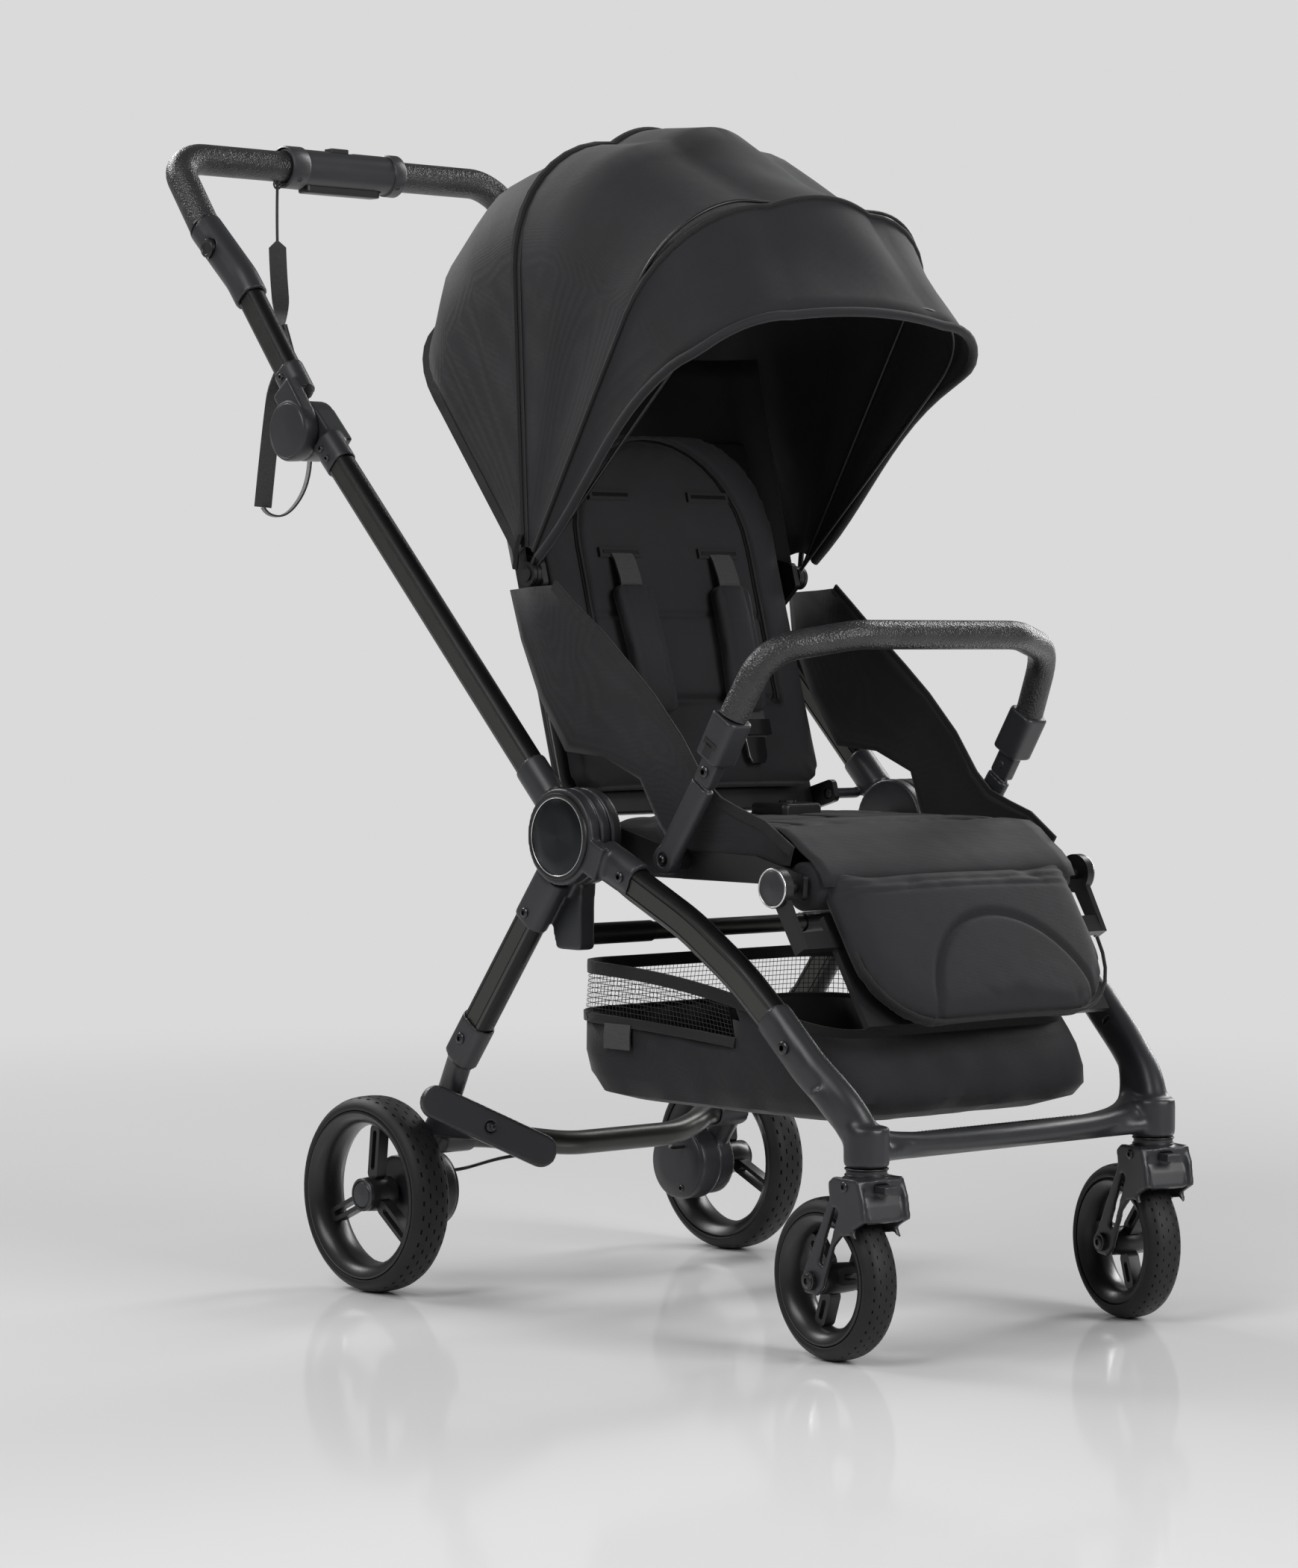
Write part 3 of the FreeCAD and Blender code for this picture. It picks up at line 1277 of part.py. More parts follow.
# ---------------------------------------------------------------------------
# Check every object, then write each piece
# ---------------------------------------------------------------------------
doc.recompute()
for obj in doc.Objects:
    assert not {"Invalid", "Error"} & set(obj.State), f"{obj.Label} failed: {obj.State}"

os.makedirs("parts", exist_ok=True)
for obj in nodes:
    shape = obj.Shape
    assert not shape.isNull(), f"{obj.Label} is empty"
    assert shape.isValid(), f"{obj.Label} is not valid"
    assert shape.Solids, f"{obj.Label} has no solid"
    shape.exportStep(f"parts/{obj.Label}.step")
print(len(nodes), "pieces written")
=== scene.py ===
import json
import math

import bmesh
import bpy
from mathutils import Matrix, Vector


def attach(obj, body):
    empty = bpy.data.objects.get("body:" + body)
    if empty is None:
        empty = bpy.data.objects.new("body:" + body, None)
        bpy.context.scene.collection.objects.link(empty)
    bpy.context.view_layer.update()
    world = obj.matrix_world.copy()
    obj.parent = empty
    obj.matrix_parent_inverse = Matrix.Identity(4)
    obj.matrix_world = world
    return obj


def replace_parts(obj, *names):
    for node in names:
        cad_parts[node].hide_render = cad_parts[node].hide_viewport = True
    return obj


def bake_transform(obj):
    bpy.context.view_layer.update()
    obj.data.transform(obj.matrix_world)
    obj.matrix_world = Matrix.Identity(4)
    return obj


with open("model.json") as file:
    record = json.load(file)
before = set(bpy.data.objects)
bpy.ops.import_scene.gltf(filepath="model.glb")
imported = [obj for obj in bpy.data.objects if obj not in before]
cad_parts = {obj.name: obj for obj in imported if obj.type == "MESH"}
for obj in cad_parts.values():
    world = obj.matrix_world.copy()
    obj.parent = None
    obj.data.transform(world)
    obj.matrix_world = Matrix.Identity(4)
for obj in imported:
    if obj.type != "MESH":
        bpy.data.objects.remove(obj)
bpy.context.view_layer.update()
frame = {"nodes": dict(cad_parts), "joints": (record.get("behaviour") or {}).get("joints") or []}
nodes = frame["nodes"]
joint = {j["name"]: j for j in frame["joints"]}

# Places are given in millimetres across, behind the rear axle, and above the
# floor.
AXLE_LINE = joint["rear_wheel_spin_right"]["pos_m"][1]


def at(x, y, z):
    """A place in the frame, in metres, from millimetres across, behind the axle and up."""
    return Vector((x / 1000, AXLE_LINE + y / 1000, z / 1000))


# ---------------------------------------------------------------------------
# The room: a pale floor that fades into a pale backdrop, three large soft
# lamps, and a camera low in front of the stroller's right side.
# ---------------------------------------------------------------------------
LENS = 101.39
SENSOR = 36.0
camera_data = bpy.data.cameras.new("camera")
camera_data.lens = LENS
camera_data.sensor_width = SENSOR
camera = bpy.data.objects.new("camera", camera_data)
bpy.context.scene.collection.objects.link(camera)
camera_right = Vector((0.74688, -0.66495, 0.00240))
camera_up = Vector((0.02057, 0.02671, 0.99943))
camera_back = -Vector((0.66464, 0.74641, -0.03363))
turned = Matrix((camera_right, camera_up, camera_back)).transposed().to_4x4()
camera.matrix_world = Matrix.Translation((-2.69078, -3.01506, 0.59593)) @ turned
bpy.context.scene.camera = camera
bpy.context.scene.view_settings.view_transform = "Standard"


def lamp(name, place, size, power):
    """A large soft lamp that looks at the middle of the stroller."""
    data = bpy.data.lights.new(name, "AREA")
    data.shape = "RECTANGLE"
    data.size, data.size_y = size
    data.energy = power
    obj = bpy.data.objects.new(name, data)
    bpy.context.scene.collection.objects.link(obj)
    obj.location = place
    target = Vector((0, 0, 0.55))
    obj.rotation_mode = "QUATERNION"
    obj.rotation_quaternion = (target - Vector(place)).to_track_quat("-Z", "Y")


lamp("key_lamp", (-2.6, -0.6, 2.6), (1.4, 2.2), 62)
lamp("front_lamp", (0.6, -3.4, 1.9), (1.6, 1.6), 80)
lamp("side_lamp", (3.0, 0.4, 1.9), (0.8, 2.4), 60)
lamp("back_lamp", (-0.4, 2.9, 2.6), (2.6, 0.8), 86)

world = bpy.data.worlds.new("studio")
bpy.context.scene.world = world
world.use_nodes = True
world_nodes = world.node_tree.nodes
world_links = world.node_tree.links
AMBIENT = 0.22
BACKDROP = (0.70, 0.70, 0.70, 1)
world_nodes.clear()
world_out = world_nodes.new("ShaderNodeOutputWorld")
room_light = world_nodes.new("ShaderNodeBackground")
room_light.inputs["Strength"].default_value = AMBIENT
backdrop = world_nodes.new("ShaderNodeBackground")
backdrop.inputs["Color"].default_value = BACKDROP
seen = world_nodes.new("ShaderNodeLightPath")
pick = world_nodes.new("ShaderNodeMixShader")
world_links.new(seen.outputs["Is Camera Ray"], pick.inputs[0])
world_links.new(room_light.outputs[0], pick.inputs[1])
world_links.new(backdrop.outputs[0], pick.inputs[2])
world_links.new(pick.outputs[0], world_out.inputs[0])


class Finish:
    """A node material under construction: one Principled shader and what feeds it."""

    def __init__(self, name, color, roughness, **sockets):
        self.material = bpy.data.materials.new(name)
        self.material.use_nodes = True
        self.tree = self.material.node_tree
        self.shader = self.tree.nodes["Principled BSDF"]
        self.shader.inputs["Base Color"].default_value = (*color, 1)
        self.shader.inputs["Roughness"].default_value = roughness
        for socket, value in sockets.items():
            self.shader.inputs[socket.replace("_", " ")].default_value = value
        self.place = self.add("ShaderNodeTexCoord").outputs["Object"]
        self.height = None

    def add(self, kind, **settings):
        node = self.tree.nodes.new(kind)
        for key, value in settings.items():
            setattr(node, key, value)
        return node

    def join(self, source, target):
        self.tree.links.new(source, target)

    def noise(self, scale, detail=2.0, place=None):
        """A cloudy value from 0 to 1 that is fixed on the piece."""
        node = self.add("ShaderNodeTexNoise")
        node.inputs["Scale"].default_value = scale
        node.inputs["Detail"].default_value = detail
        self.join(place or self.place, node.inputs["Vector"])
        return node.outputs["Fac"]

    def ramp(self, value, low, high, low_color, high_color):
        """Two colours with a soft change between two values."""
        node = self.add("ShaderNodeValToRGB")
        node.color_ramp.elements[0].position = low
        node.color_ramp.elements[1].position = high
        node.color_ramp.elements[0].color = (*low_color, 1)
        node.color_ramp.elements[1].color = (*high_color, 1)
        self.join(value, node.inputs["Fac"])
        return node.outputs["Color"]

    def paint(self, color):
        self.join(color, self.shader.inputs["Base Color"])

    def rough(self, value, low, high):
        node = self.add("ShaderNodeMapRange")
        node.inputs["To Min"].default_value = low
        node.inputs["To Max"].default_value = high
        self.join(value, node.inputs["Value"])
        self.join(node.outputs["Result"], self.shader.inputs["Roughness"])

    def bump(self, value, strength, depth):
        """Adds one more layer of relief, in metres."""
        node = self.add("ShaderNodeBump")
        node.inputs["Strength"].default_value = strength
        node.inputs["Distance"].default_value = depth
        self.join(value, node.inputs["Height"])
        if self.height:
            self.join(self.height, node.inputs["Normal"])
        self.height = node.outputs["Normal"]
        self.join(self.height, self.shader.inputs["Normal"])

    def math(self, operation, first, second=None):
        node = self.add("ShaderNodeMath", operation=operation)
        for socket, value in zip(node.inputs, (first, second)):
            if value is None:
                continue
            if isinstance(value, (int, float)):
                socket.default_value = value
            else:
                self.join(value, socket)
        return node.outputs[0]


floor_finish = Finish("pale_floor", (0.84, 0.84, 0.84), 0.09)
floor_finish.shader.inputs["Specular IOR Level"].default_value = 0.5
FLOOR_FADE_FROM, FLOOR_FADE_TO = 0.8, 2.8
distance = floor_finish.add("ShaderNodeVectorMath", operation="LENGTH")
floor_finish.join(floor_finish.place, distance.inputs[0])
fade = floor_finish.add("ShaderNodeMapRange", interpolation_type="SMOOTHSTEP")
fade.inputs["From Min"].default_value = FLOOR_FADE_FROM
fade.inputs["From Max"].default_value = FLOOR_FADE_TO
floor_finish.join(distance.outputs["Value"], fade.inputs["Value"])
far_floor = floor_finish.add("ShaderNodeEmission")
far_floor.inputs["Color"].default_value = BACKDROP
floor_mix = floor_finish.add("ShaderNodeMixShader")
floor_finish.join(fade.outputs["Result"], floor_mix.inputs[0])
floor_finish.join(floor_finish.shader.outputs[0], floor_mix.inputs[1])
floor_finish.join(far_floor.outputs[0], floor_mix.inputs[2])
floor_out = floor_finish.tree.nodes["Material Output"]
floor_finish.join(floor_mix.outputs[0], floor_out.inputs["Surface"])
bm = bmesh.new()
bmesh.ops.create_circle(bm, cap_ends=True, segments=96, radius=40)
floor_mesh = bpy.data.meshes.new("floor")
bm.to_mesh(floor_mesh)
bm.free()
floor_mesh.materials.append(floor_finish.material)
floor = bpy.data.objects.new("floor", floor_mesh)
bpy.context.scene.collection.objects.link(floor)

# ---------------------------------------------------------------------------
# Wrist strap: a thin cord loop through the grip's end collar carries a long
# loop of flat black webbing, folded back on itself and sewn at its top.
# ---------------------------------------------------------------------------
def webbing_finish():
    """Black ribbed webbing: fine cross ribs under a faint sheen."""
    finish = Finish("black_webbing", (0.014, 0.014, 0.015), 0.7)
    finish.shader.inputs["Sheen Weight"].default_value = 0.25
    rib = finish.add("ShaderNodeTexWave", wave_type="BANDS", bands_direction="Z")
    rib.inputs["Scale"].default_value = 260
    finish.join(finish.place, rib.inputs["Vector"])
    finish.bump(rib.outputs["Fac"], 0.5, 0.0004)
    finish.paint(finish.ramp(finish.noise(700), 0.3, 0.7, (0.010, 0.010, 0.011), (0.024, 0.024, 0.026)))
    return finish.material


webbing = webbing_finish()


def add_object(name, data, material):
    obj = bpy.data.objects.new(name, data)
    bpy.context.scene.collection.objects.link(obj)
    data.materials.clear()
    data.materials.append(material)
    return obj


def new_piece(name, bm, material, body, crease=38):
    """A finished mesh becomes a piece that rides on a body."""
    bmesh.ops.remove_doubles(bm, verts=bm.verts, dist=1e-6)
    bmesh.ops.recalc_face_normals(bm, faces=bm.faces)
    mesh = bpy.data.meshes.new(name)
    bm.to_mesh(mesh)
    bm.free()
    mesh.shade_smooth()
    mesh.set_sharp_from_angle(angle=math.radians(crease))
    obj = add_object(name, mesh, material)
    if body:
        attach(obj, body)
    return obj


def smooth_line(route, steps=8):
    """Points along the smooth NURBS line of a route's control points."""
    data = bpy.data.curves.new("line", "CURVE")
    data.dimensions = "3D"
    spline = data.splines.new("NURBS")
    spline.points.add(len(route) - 1)
    for point, place in zip(spline.points, route):
        point.co = (*place, 1)
    spline.order_u = 3
    spline.use_endpoint_u = True
    spline.resolution_u = steps
    obj = bpy.data.objects.new("line", data)
    mesh = bpy.data.meshes.new_from_object(obj)
    line = [v.co.copy() for v in mesh.vertices]
    bpy.data.objects.remove(obj)
    return line


def stations(line, across, grow=None):
    """One matrix for each point of a line: across, tall, ahead and the place."""
    result = []
    for i, place in enumerate(line):
        ahead = (line[min(i + 1, len(line) - 1)] - line[max(i - 1, 0)]).normalized()
        side = across[i] if isinstance(across, list) else across
        side = (side - ahead * side.dot(ahead)).normalized()
        wide, high = grow[i] if grow else (1, 1)
        matrix = Matrix((side * wide, ahead.cross(side) * high, ahead)).transposed().to_4x4()
        matrix.translation = place
        result.append(matrix)
    return result


def sweep(bm, section, frames):
    """Carries a closed outline along a row of places by extruding its edges."""
    ring = [bm.verts.new(frames[0] @ Vector((a, b, 0))) for a, b in section]
    edges = [bm.edges.new((ring[i - 1], ring[i])) for i in range(len(ring))]
    bmesh.ops.edgeloop_fill(bm, edges=edges)
    for before, after in zip(frames, frames[1:]):
        made = bmesh.ops.extrude_edge_only(bm, edges=edges)["geom"]
        verts = [v for v in made if isinstance(v, bmesh.types.BMVert)]
        edges = [e for e in made if isinstance(e, bmesh.types.BMEdge) and e.is_boundary]
        bmesh.ops.transform(bm, matrix=after @ before.inverted(), verts=verts)
    bmesh.ops.edgeloop_fill(bm, edges=edges)


def flat_section(width, thickness):
    half, thin = width / 2, thickness / 2
    return [(-half, -thin), (0, -thin * 1.1), (half, -thin), (half, thin), (0, thin * 1.1), (-half, thin)]


X_AXIS = Vector((1, 0, 0))
STRAP_WIDTH = 0.017
STRAP_THICKNESS = 0.0018
strap_route = [at(-76, 338, 1038.7), at(-77, 339, 978.7), at(-71, 335, 888.7), at(-81, 342, 803.7), at(-88, 346, 720.7)]
strap_line = smooth_line(strap_route, 12)
strap_facing = []
strap_growth = []
CORD_SHARE = 0.18
for i in range(len(strap_line)):
    share = i / (len(strap_line) - 1)
    turn = math.radians(-40 + 95 * math.sin(math.pi * min(max((share - 0.35) / 0.4, 0), 1)))
    strap_facing.append(Vector((math.cos(turn), math.sin(turn), 0)))
    strap_growth.append((0.16, 1.3) if share < CORD_SHARE else (1, 1))
bm = bmesh.new()
sweep(bm, flat_section(STRAP_WIDTH, STRAP_THICKNESS), stations(strap_line, strap_facing, strap_growth))
wrist_strap = new_piece("wrist_strap_webbing", bm, webbing, "handle_upper")
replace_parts(wrist_strap, "wrist_strap")

# The loop's other leg turns up at the bottom and is sewn in where the webbing starts.
return_route = [
    at(-88, 346, 720.7), at(-84, 344, 712), at(-66, 334, 712), at(-46, 326, 745),
    at(-43, 328, 800), at(-58, 332, 860), at(-69, 336, 900),
]
return_line = smooth_line(return_route, 6)
bm = bmesh.new()
sweep(bm, flat_section(STRAP_WIDTH, STRAP_THICKNESS), stations(return_line, Vector((0.45, 0.9, 0))))
strap_return = new_piece("wrist_strap_loop", bm, webbing, "handle_upper")

# ---------------------------------------------------------------------------
# Frame tubes: four pairs of extruded aluminium legs and handle tubes, flat
# sided with a groove along each edge, anodised gunmetal with black edges.
# ---------------------------------------------------------------------------
def tube_finish(name, color, roughness):
    """Anodised extrusion: metal with a fine lengthwise unevenness."""
    finish = Finish(name, color, roughness, Metallic=0.85)
    finish.rough(finish.noise(60), roughness - 0.06, roughness + 0.08)
    finish.bump(finish.noise(900), 0.06, 0.0002)
    return finish.material


gunmetal = tube_finish("gunmetal_anodised", (0.062, 0.062, 0.058), 0.34)
edge_black = tube_finish("black_anodised_edge", (0.020, 0.020, 0.021), 0.34)


def rounded_route(points, bend, steps=7):
    """Straight runs joined by smooth corners of about one bend radius."""
    line = [points[0]]
    for before, corner, after in zip(points, points[1:], points[2:]):
        come, leave = corner - before, after - corner
        reach = bend * math.tan(come.angle(leave) / 2)
        reach = min(reach, 0.45 * come.length, 0.45 * leave.length)
        first, last = corner - come.normalized() * reach, corner + leave.normalized() * reach
        for i in range(steps + 1):
            t = i / steps
            line.append(first.lerp(corner, t).lerp(corner.lerp(last, t), t))
    return line + [points[-1]]


def tube_section(width, height, groove=0.0008):
    """A flat-sided tube: round edges, and a narrow groove beside each edge."""
    half, flat = width / 2, height / 2 - width * 0.34
    outline = []
    for side in (1, -1):
        outline += [(side * half, side * h) for h in (-flat + 0.0014,)]
        outline += [(side * half, side * h) for h in (flat - 0.0014,)]
        outline += [(side * (half - groove), side * (flat - 0.0007)), (side * half, side * flat)]
        for i in range(1, 8):
            turn = math.pi * i / 8
            outline.append((side * half * math.cos(turn), side * (flat + width * 0.34 * math.sin(turn))))
        outline += [(-side * half, side * flat), (-side * (half - groove), side * (flat - 0.0007))]
    return outline


def extrusion(name, runs, bend, height, body, *replaced):
    """A pair of tubes; the strips beyond the grooves are black."""
    bm = bmesh.new()
    section = tube_section(TUBE_THICK, height)
    for side in (-1, 1):
        points = [Vector((-side * p.x, p.y, p.z)) for p in runs]
        sweep(bm, section, stations(rounded_route(points, bend), X_AXIS))
    obj = new_piece(name, bm, gunmetal, body, crease=28)
    obj.data.materials.append(edge_black)
    for polygon in obj.data.polygons:
        if abs(polygon.normal.x) < 0.93:
            polygon.material_index = 1
    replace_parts(obj, *replaced)
    return obj


TUBE_PLANE = -200
TUBE_THICK = 0.0198
LEG_HEIGHT = 0.0298
HANDLE_HEIGHT = 0.0268
HUB = (-254, 422)


def along(origin, degrees, distance, offset=0.0):
    """(y, z) at a distance along a direction in the side view; offset is to its left."""
    angle = math.radians(degrees)
    y = origin[0] + distance * math.cos(angle) - offset * math.sin(angle)
    return y, origin[1] + distance * math.sin(angle) + offset * math.cos(angle)


HANDLE_ANGLE, UPPER_ANGLE = 45.08, 50.9
REAR_ANGLE = math.degrees(math.atan2(89 - HUB[1], -HUB[0]))
FOLD_PIVOT = along((118, 795), HANDLE_ANGLE, 0, -15)
front_points = [
    at(-200, *along(HUB, 203.5, 56)), at(-200, -332, 385), at(-200, -404, 352),
    at(-198, -464, 313), at(-194, -510, 272), at(-191, -541, 241),
]
extrusion("front_leg_tubes", front_points, 0.26, LEG_HEIGHT, "chassis", "front_legs")
rear_points = [at(-200, *along(HUB, REAR_ANGLE, d)) for d in (60, 242)]
extrusion("rear_leg_tubes", rear_points, 0.01, LEG_HEIGHT, "rear_frame", "rear_legs")
joint_reach = math.dist(HUB, (118, 795))
lower_points = [at(-200, *along(HUB, HANDLE_ANGLE, d)) for d in (60, joint_reach - 36)]
extrusion("lower_handle_tubes", lower_points, 0.01, HANDLE_HEIGHT, "handle_lower", "lower_tubes")
upper_points = [at(-200, *along(FOLD_PIVOT, UPPER_ANGLE, d, 15)) for d in (36, 172)]
extrusion("upper_handle_tubes", upper_points, 0.01, HANDLE_HEIGHT, "handle_upper", "upper_tubes")

# ---------------------------------------------------------------------------
# Moulded frame parts: hub sockets, fold joints, feet, casting and forks are
# glass-filled nylon, with soft edges and blended joins from their moulds.
# ---------------------------------------------------------------------------
def plastic_finish(name, color, roughness, grain=0.25):
    """Moulded nylon: a fine spark-eroded grain and slightly uneven gloss."""
    finish = Finish(name, color, roughness)
    finish.shader.inputs["Specular IOR Level"].default_value = 0.42
    finish.rough(finish.noise(35, 4), roughness - 0.07, roughness + 0.09)
    finish.bump(finish.noise(2200), grain, 0.00025)
    lighter = tuple(c * 1.25 for c in color)
    finish.paint(finish.ramp(finish.noise(14, 3), 0.35, 0.75, color, lighter))
    return finish.material


nylon = plastic_finish("charcoal_nylon", (0.017, 0.0175, 0.020), 0.36)
black_nylon = plastic_finish("black_nylon", (0.006, 0.006, 0.007), 0.36)
gloss_black = Finish("polished_black", (0.008, 0.008, 0.009), 0.16).material
bright_steel = tube_finish("bright_steel", (0.55, 0.55, 0.56), 0.24)
dark_steel = tube_finish("blackened_steel", (0.05, 0.05, 0.052), 0.28)


def evaluated(obj):
    """The mesh of an object with its modifiers applied."""
    bpy.context.view_layer.update()
    graph = bpy.context.evaluated_depsgraph_get()
    return bpy.data.meshes.new_from_object(obj.evaluated_get(graph))


def scratch(bm):
    mesh = bpy.data.meshes.new("scratch")
    bm.to_mesh(mesh)
    bm.free()
    obj = bpy.data.objects.new("scratch", mesh)
    bpy.context.scene.collection.objects.link(obj)
    return obj


def bmesh_of(mesh):
    bm = bmesh.new()
    bm.from_mesh(mesh)
    return bm


def carved(bm, cutter):
    """The first shape less the second."""
    body, tool = scratch(bm), scratch(cutter)
    cut = body.modifiers.new("cut", "BOOLEAN")
    cut.object = tool
    cut.operation = "DIFFERENCE"
    mesh = evaluated(body)
    bpy.data.objects.remove(body)
    bpy.data.objects.remove(tool)
    return bmesh_of(mesh)


def remeshed(bm, voxel, passes):
    """One closed skin round overlapping shapes, with its edges and joins softened."""
    body = scratch(bm)
    skin = body.modifiers.new("skin", "REMESH")
    skin.mode = "VOXEL"
    skin.voxel_size = voxel
    if passes:
        soften = body.modifiers.new("soften", "SMOOTH")
        soften.factor = 0.5
        soften.iterations = passes
    mesh = evaluated(body)
    bpy.data.objects.remove(body)
    return bmesh_of(mesh)


def node_copy(node):
    bm = bmesh_of(nodes[node].data)
    bmesh.ops.remove_doubles(bm, verts=bm.verts, dist=1e-5)
    return bm


def add_mesh(bm, other):
    """Puts a second mesh into the first."""
    mesh = bpy.data.meshes.new("part")
    other.to_mesh(mesh)
    other.free()
    bm.from_mesh(mesh)


def moulded(name, node, body, material=None, voxel=0.0016, passes=5, added=None, cut=None):
    """A moulded part from the frame part's own shape, with what is added to it or cut from it."""
    bm = node_copy(node)
    if added:
        add_mesh(bm, added)
    if cut:
        bm = carved(bm, cut)
    bm = remeshed(bm, voxel, passes)
    obj = new_piece(name, bm, material or nylon, body, crease=180)
    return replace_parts(obj, node)


moulded("hub_outer_shells", "hub_shells", "chassis")
moulded("handle_hub_sockets", "handle_sockets", "handle_lower")
moulded("rear_hub_sockets", "rear_sockets", "rear_frame")
moulded("fold_joint_inner", "fold_joint_lower", "handle_lower", voxel=0.0014, passes=4)
moulded("fold_joint_outer", "fold_joint_upper", "handle_upper", voxel=0.0014, passes=4)
moulded("handle_bend_sleeves", "handle_sleeves", "handle_upper", passes=4)
moulded("rear_foot_moulding_right", "rear_foot_right", "rear_frame", voxel=0.0018)
moulded("rear_foot_moulding_left", "rear_foot_left", "rear_frame", voxel=0.0018)
moulded("bumper_side_arms", "bumper_arms", "bumper_arms", voxel=0.0012, passes=3)
moulded("brake_rocker", "brake_pedal", "brake_pedal", voxel=0.0012, passes=5)
moulded("brake_drum_housings", "brake_drums", "rear_frame", voxel=0.0018, passes=5)
web = bmesh.new()
web_half = [at(-192, -552, 226), at(-183, -566, 200), at(-160, -574, 184), at(-118, -577, 177), at(-50, -577, 175.5)]
web_line = smooth_line(web_half + [Vector((-p.x, p.y, p.z)) for p in reversed(web_half)], 6)
web_outline = [(0.0095 * math.cos(math.tau * i / 16), 0.0165 * math.sin(math.tau * i / 16)) for i in range(16)]
sweep(web, web_outline, stations(web_line, Vector((0, 0, 1))))
moulded("front_casting_moulding", "front_casting", "chassis", voxel=0.0022, passes=14, added=web)


def lathe(bm, profile, centre, axis, segments=48):
    """Turns a profile of (radius, distance along the axis) round an axis, in millimetres."""
    axis = Vector(axis).normalized()
    side = axis.orthogonal().normalized()
    verts = [bm.verts.new(centre + side * (r / 1000) + axis * (d / 1000)) for r, d in profile]
    edges = [bm.edges.new(pair) for pair in zip(verts, verts[1:])]
    bmesh.ops.spin(bm, geom=verts + edges, cent=centre, axis=axis, angle=math.tau, steps=segments, use_merge=True)


def bolt(bm, centre, axis, radius, raised=1.6):
    """A domed bolt head with a hexagon socket, seated in a shallow ring."""
    axis = Vector(axis).normalized()
    turn = axis.to_track_quat("Z", "Y").to_matrix().to_4x4()

    def ring(count, r, height):
        place = Matrix.Translation(Vector(centre) + axis * height / 1000) @ turn
        made = bmesh.ops.create_circle(bm, segments=count, radius=r / 1000, matrix=place)
        verts = set(made["verts"])
        return [e for e in bm.edges if e.verts[0] in verts and e.verts[1] in verts]

    loops = [
        ring(24, radius, -1.0), ring(24, radius, raised * 0.5), ring(24, radius * 0.82, raised),
        ring(24, radius * 0.60, raised * 1.15), ring(6, radius * 0.5, raised * 1.15), ring(6, radius * 0.46, -0.6),
    ]
    for first, second in zip(loops, loops[1:]):
        bmesh.ops.bridge_loops(bm, edges=first + second)
    bmesh.ops.edgeloop_fill(bm, edges=loops[-1])


def soft_box(width, height, corner, steps=4):
    """A rounded rectangle, as a closed outline in metres."""
    outline = []
    for quarter in range(4):
        turn = quarter * math.pi / 2
        for i in range(steps + 1):
            angle = turn + math.pi / 2 * i / steps
            x = (width / 2 - corner) * (1 if quarter in (0, 3) else -1) + corner * math.cos(angle)
            y = (height / 2 - corner) * (1 if quarter in (0, 1) else -1) + corner * math.sin(angle)
            outline.append((x / 1000, y / 1000))
    return outline


def bolts(name, places, body, material=None):
    """A set of bolts: each has a place, a direction and a radius in millimetres."""
    bm = bmesh.new()
    for centre, axis, radius in places:
        bolt(bm, centre, axis, radius)
    return new_piece(name, bm, material or dark_steel, body)


def both(x, y, z):
    """The same place on both sides, with the outward direction of each."""
    return [(at(side * abs(x), y, z), (side, 0, 0)) for side in (-1, 1)]


def ring_bead(bm, centre, axis, radius, wire):
    """A thin round ring."""
    profile = [
        (radius + wire * math.cos(math.tau * i / 10), wire * math.sin(math.tau * i / 10)) for i in range(11)
    ]
    lathe(bm, profile, centre, axis, 64)


bolts("frame_bolts", [
    (p, a, 4.5) for y, z in (along(HUB, 203.5, 80), along(HUB, 203.5, 318)) for p, a in both(213, y, z)
][:2], "chassis")
bolts("rear_socket_bolts", [(p, a, 4.5) for p, a in both(212.6, *along(HUB, REAR_ANGLE, 86))], "rear_frame")
bolts("rear_foot_bolts", [(p, a, 5.2) for p, a in both(212.6, *along(HUB, REAR_ANGLE, 232))], "rear_frame")
bolts("fold_upper_bolts", [
    (p, a, 3.0) for d in (40, 53) for p, a in both(212.6, *along(FOLD_PIVOT, UPPER_ANGLE, d, 15))
], "handle_upper")
bolts("fold_lower_bolts", [
    (p, a, 3.0) for d in (40, 53) for p, a in both(212.6, *along(FOLD_PIVOT, HANDLE_ANGLE + 180, d, -15))
], "handle_lower")

# ---------------------------------------------------------------------------
# Hub covers: a spun aluminium disc in a narrow bright ring, and the dark
# moulded collar that it snaps into.
# ---------------------------------------------------------------------------
def spun_finish():
    """Dark spun aluminium: fine circles round the hub's own centre."""
    finish = Finish("spun_cover", (0.022, 0.024, 0.026), 0.2, Metallic=0.9)
    spin = finish.add("ShaderNodeMapping")
    spin.inputs["Location"].default_value = -at(0, *HUB)
    finish.join(finish.place, spin.inputs["Vector"])
    circles = finish.add("ShaderNodeTexWave", wave_type="RINGS", rings_direction="X")
    circles.inputs["Scale"].default_value = 420
    circles.inputs["Distortion"].default_value = 0.6
    finish.join(spin.outputs["Vector"], circles.inputs["Vector"])
    finish.bump(circles.outputs["Fac"], 0.25, 0.0002)
    finish.rough(circles.outputs["Fac"], 0.16, 0.3)
    return finish.material


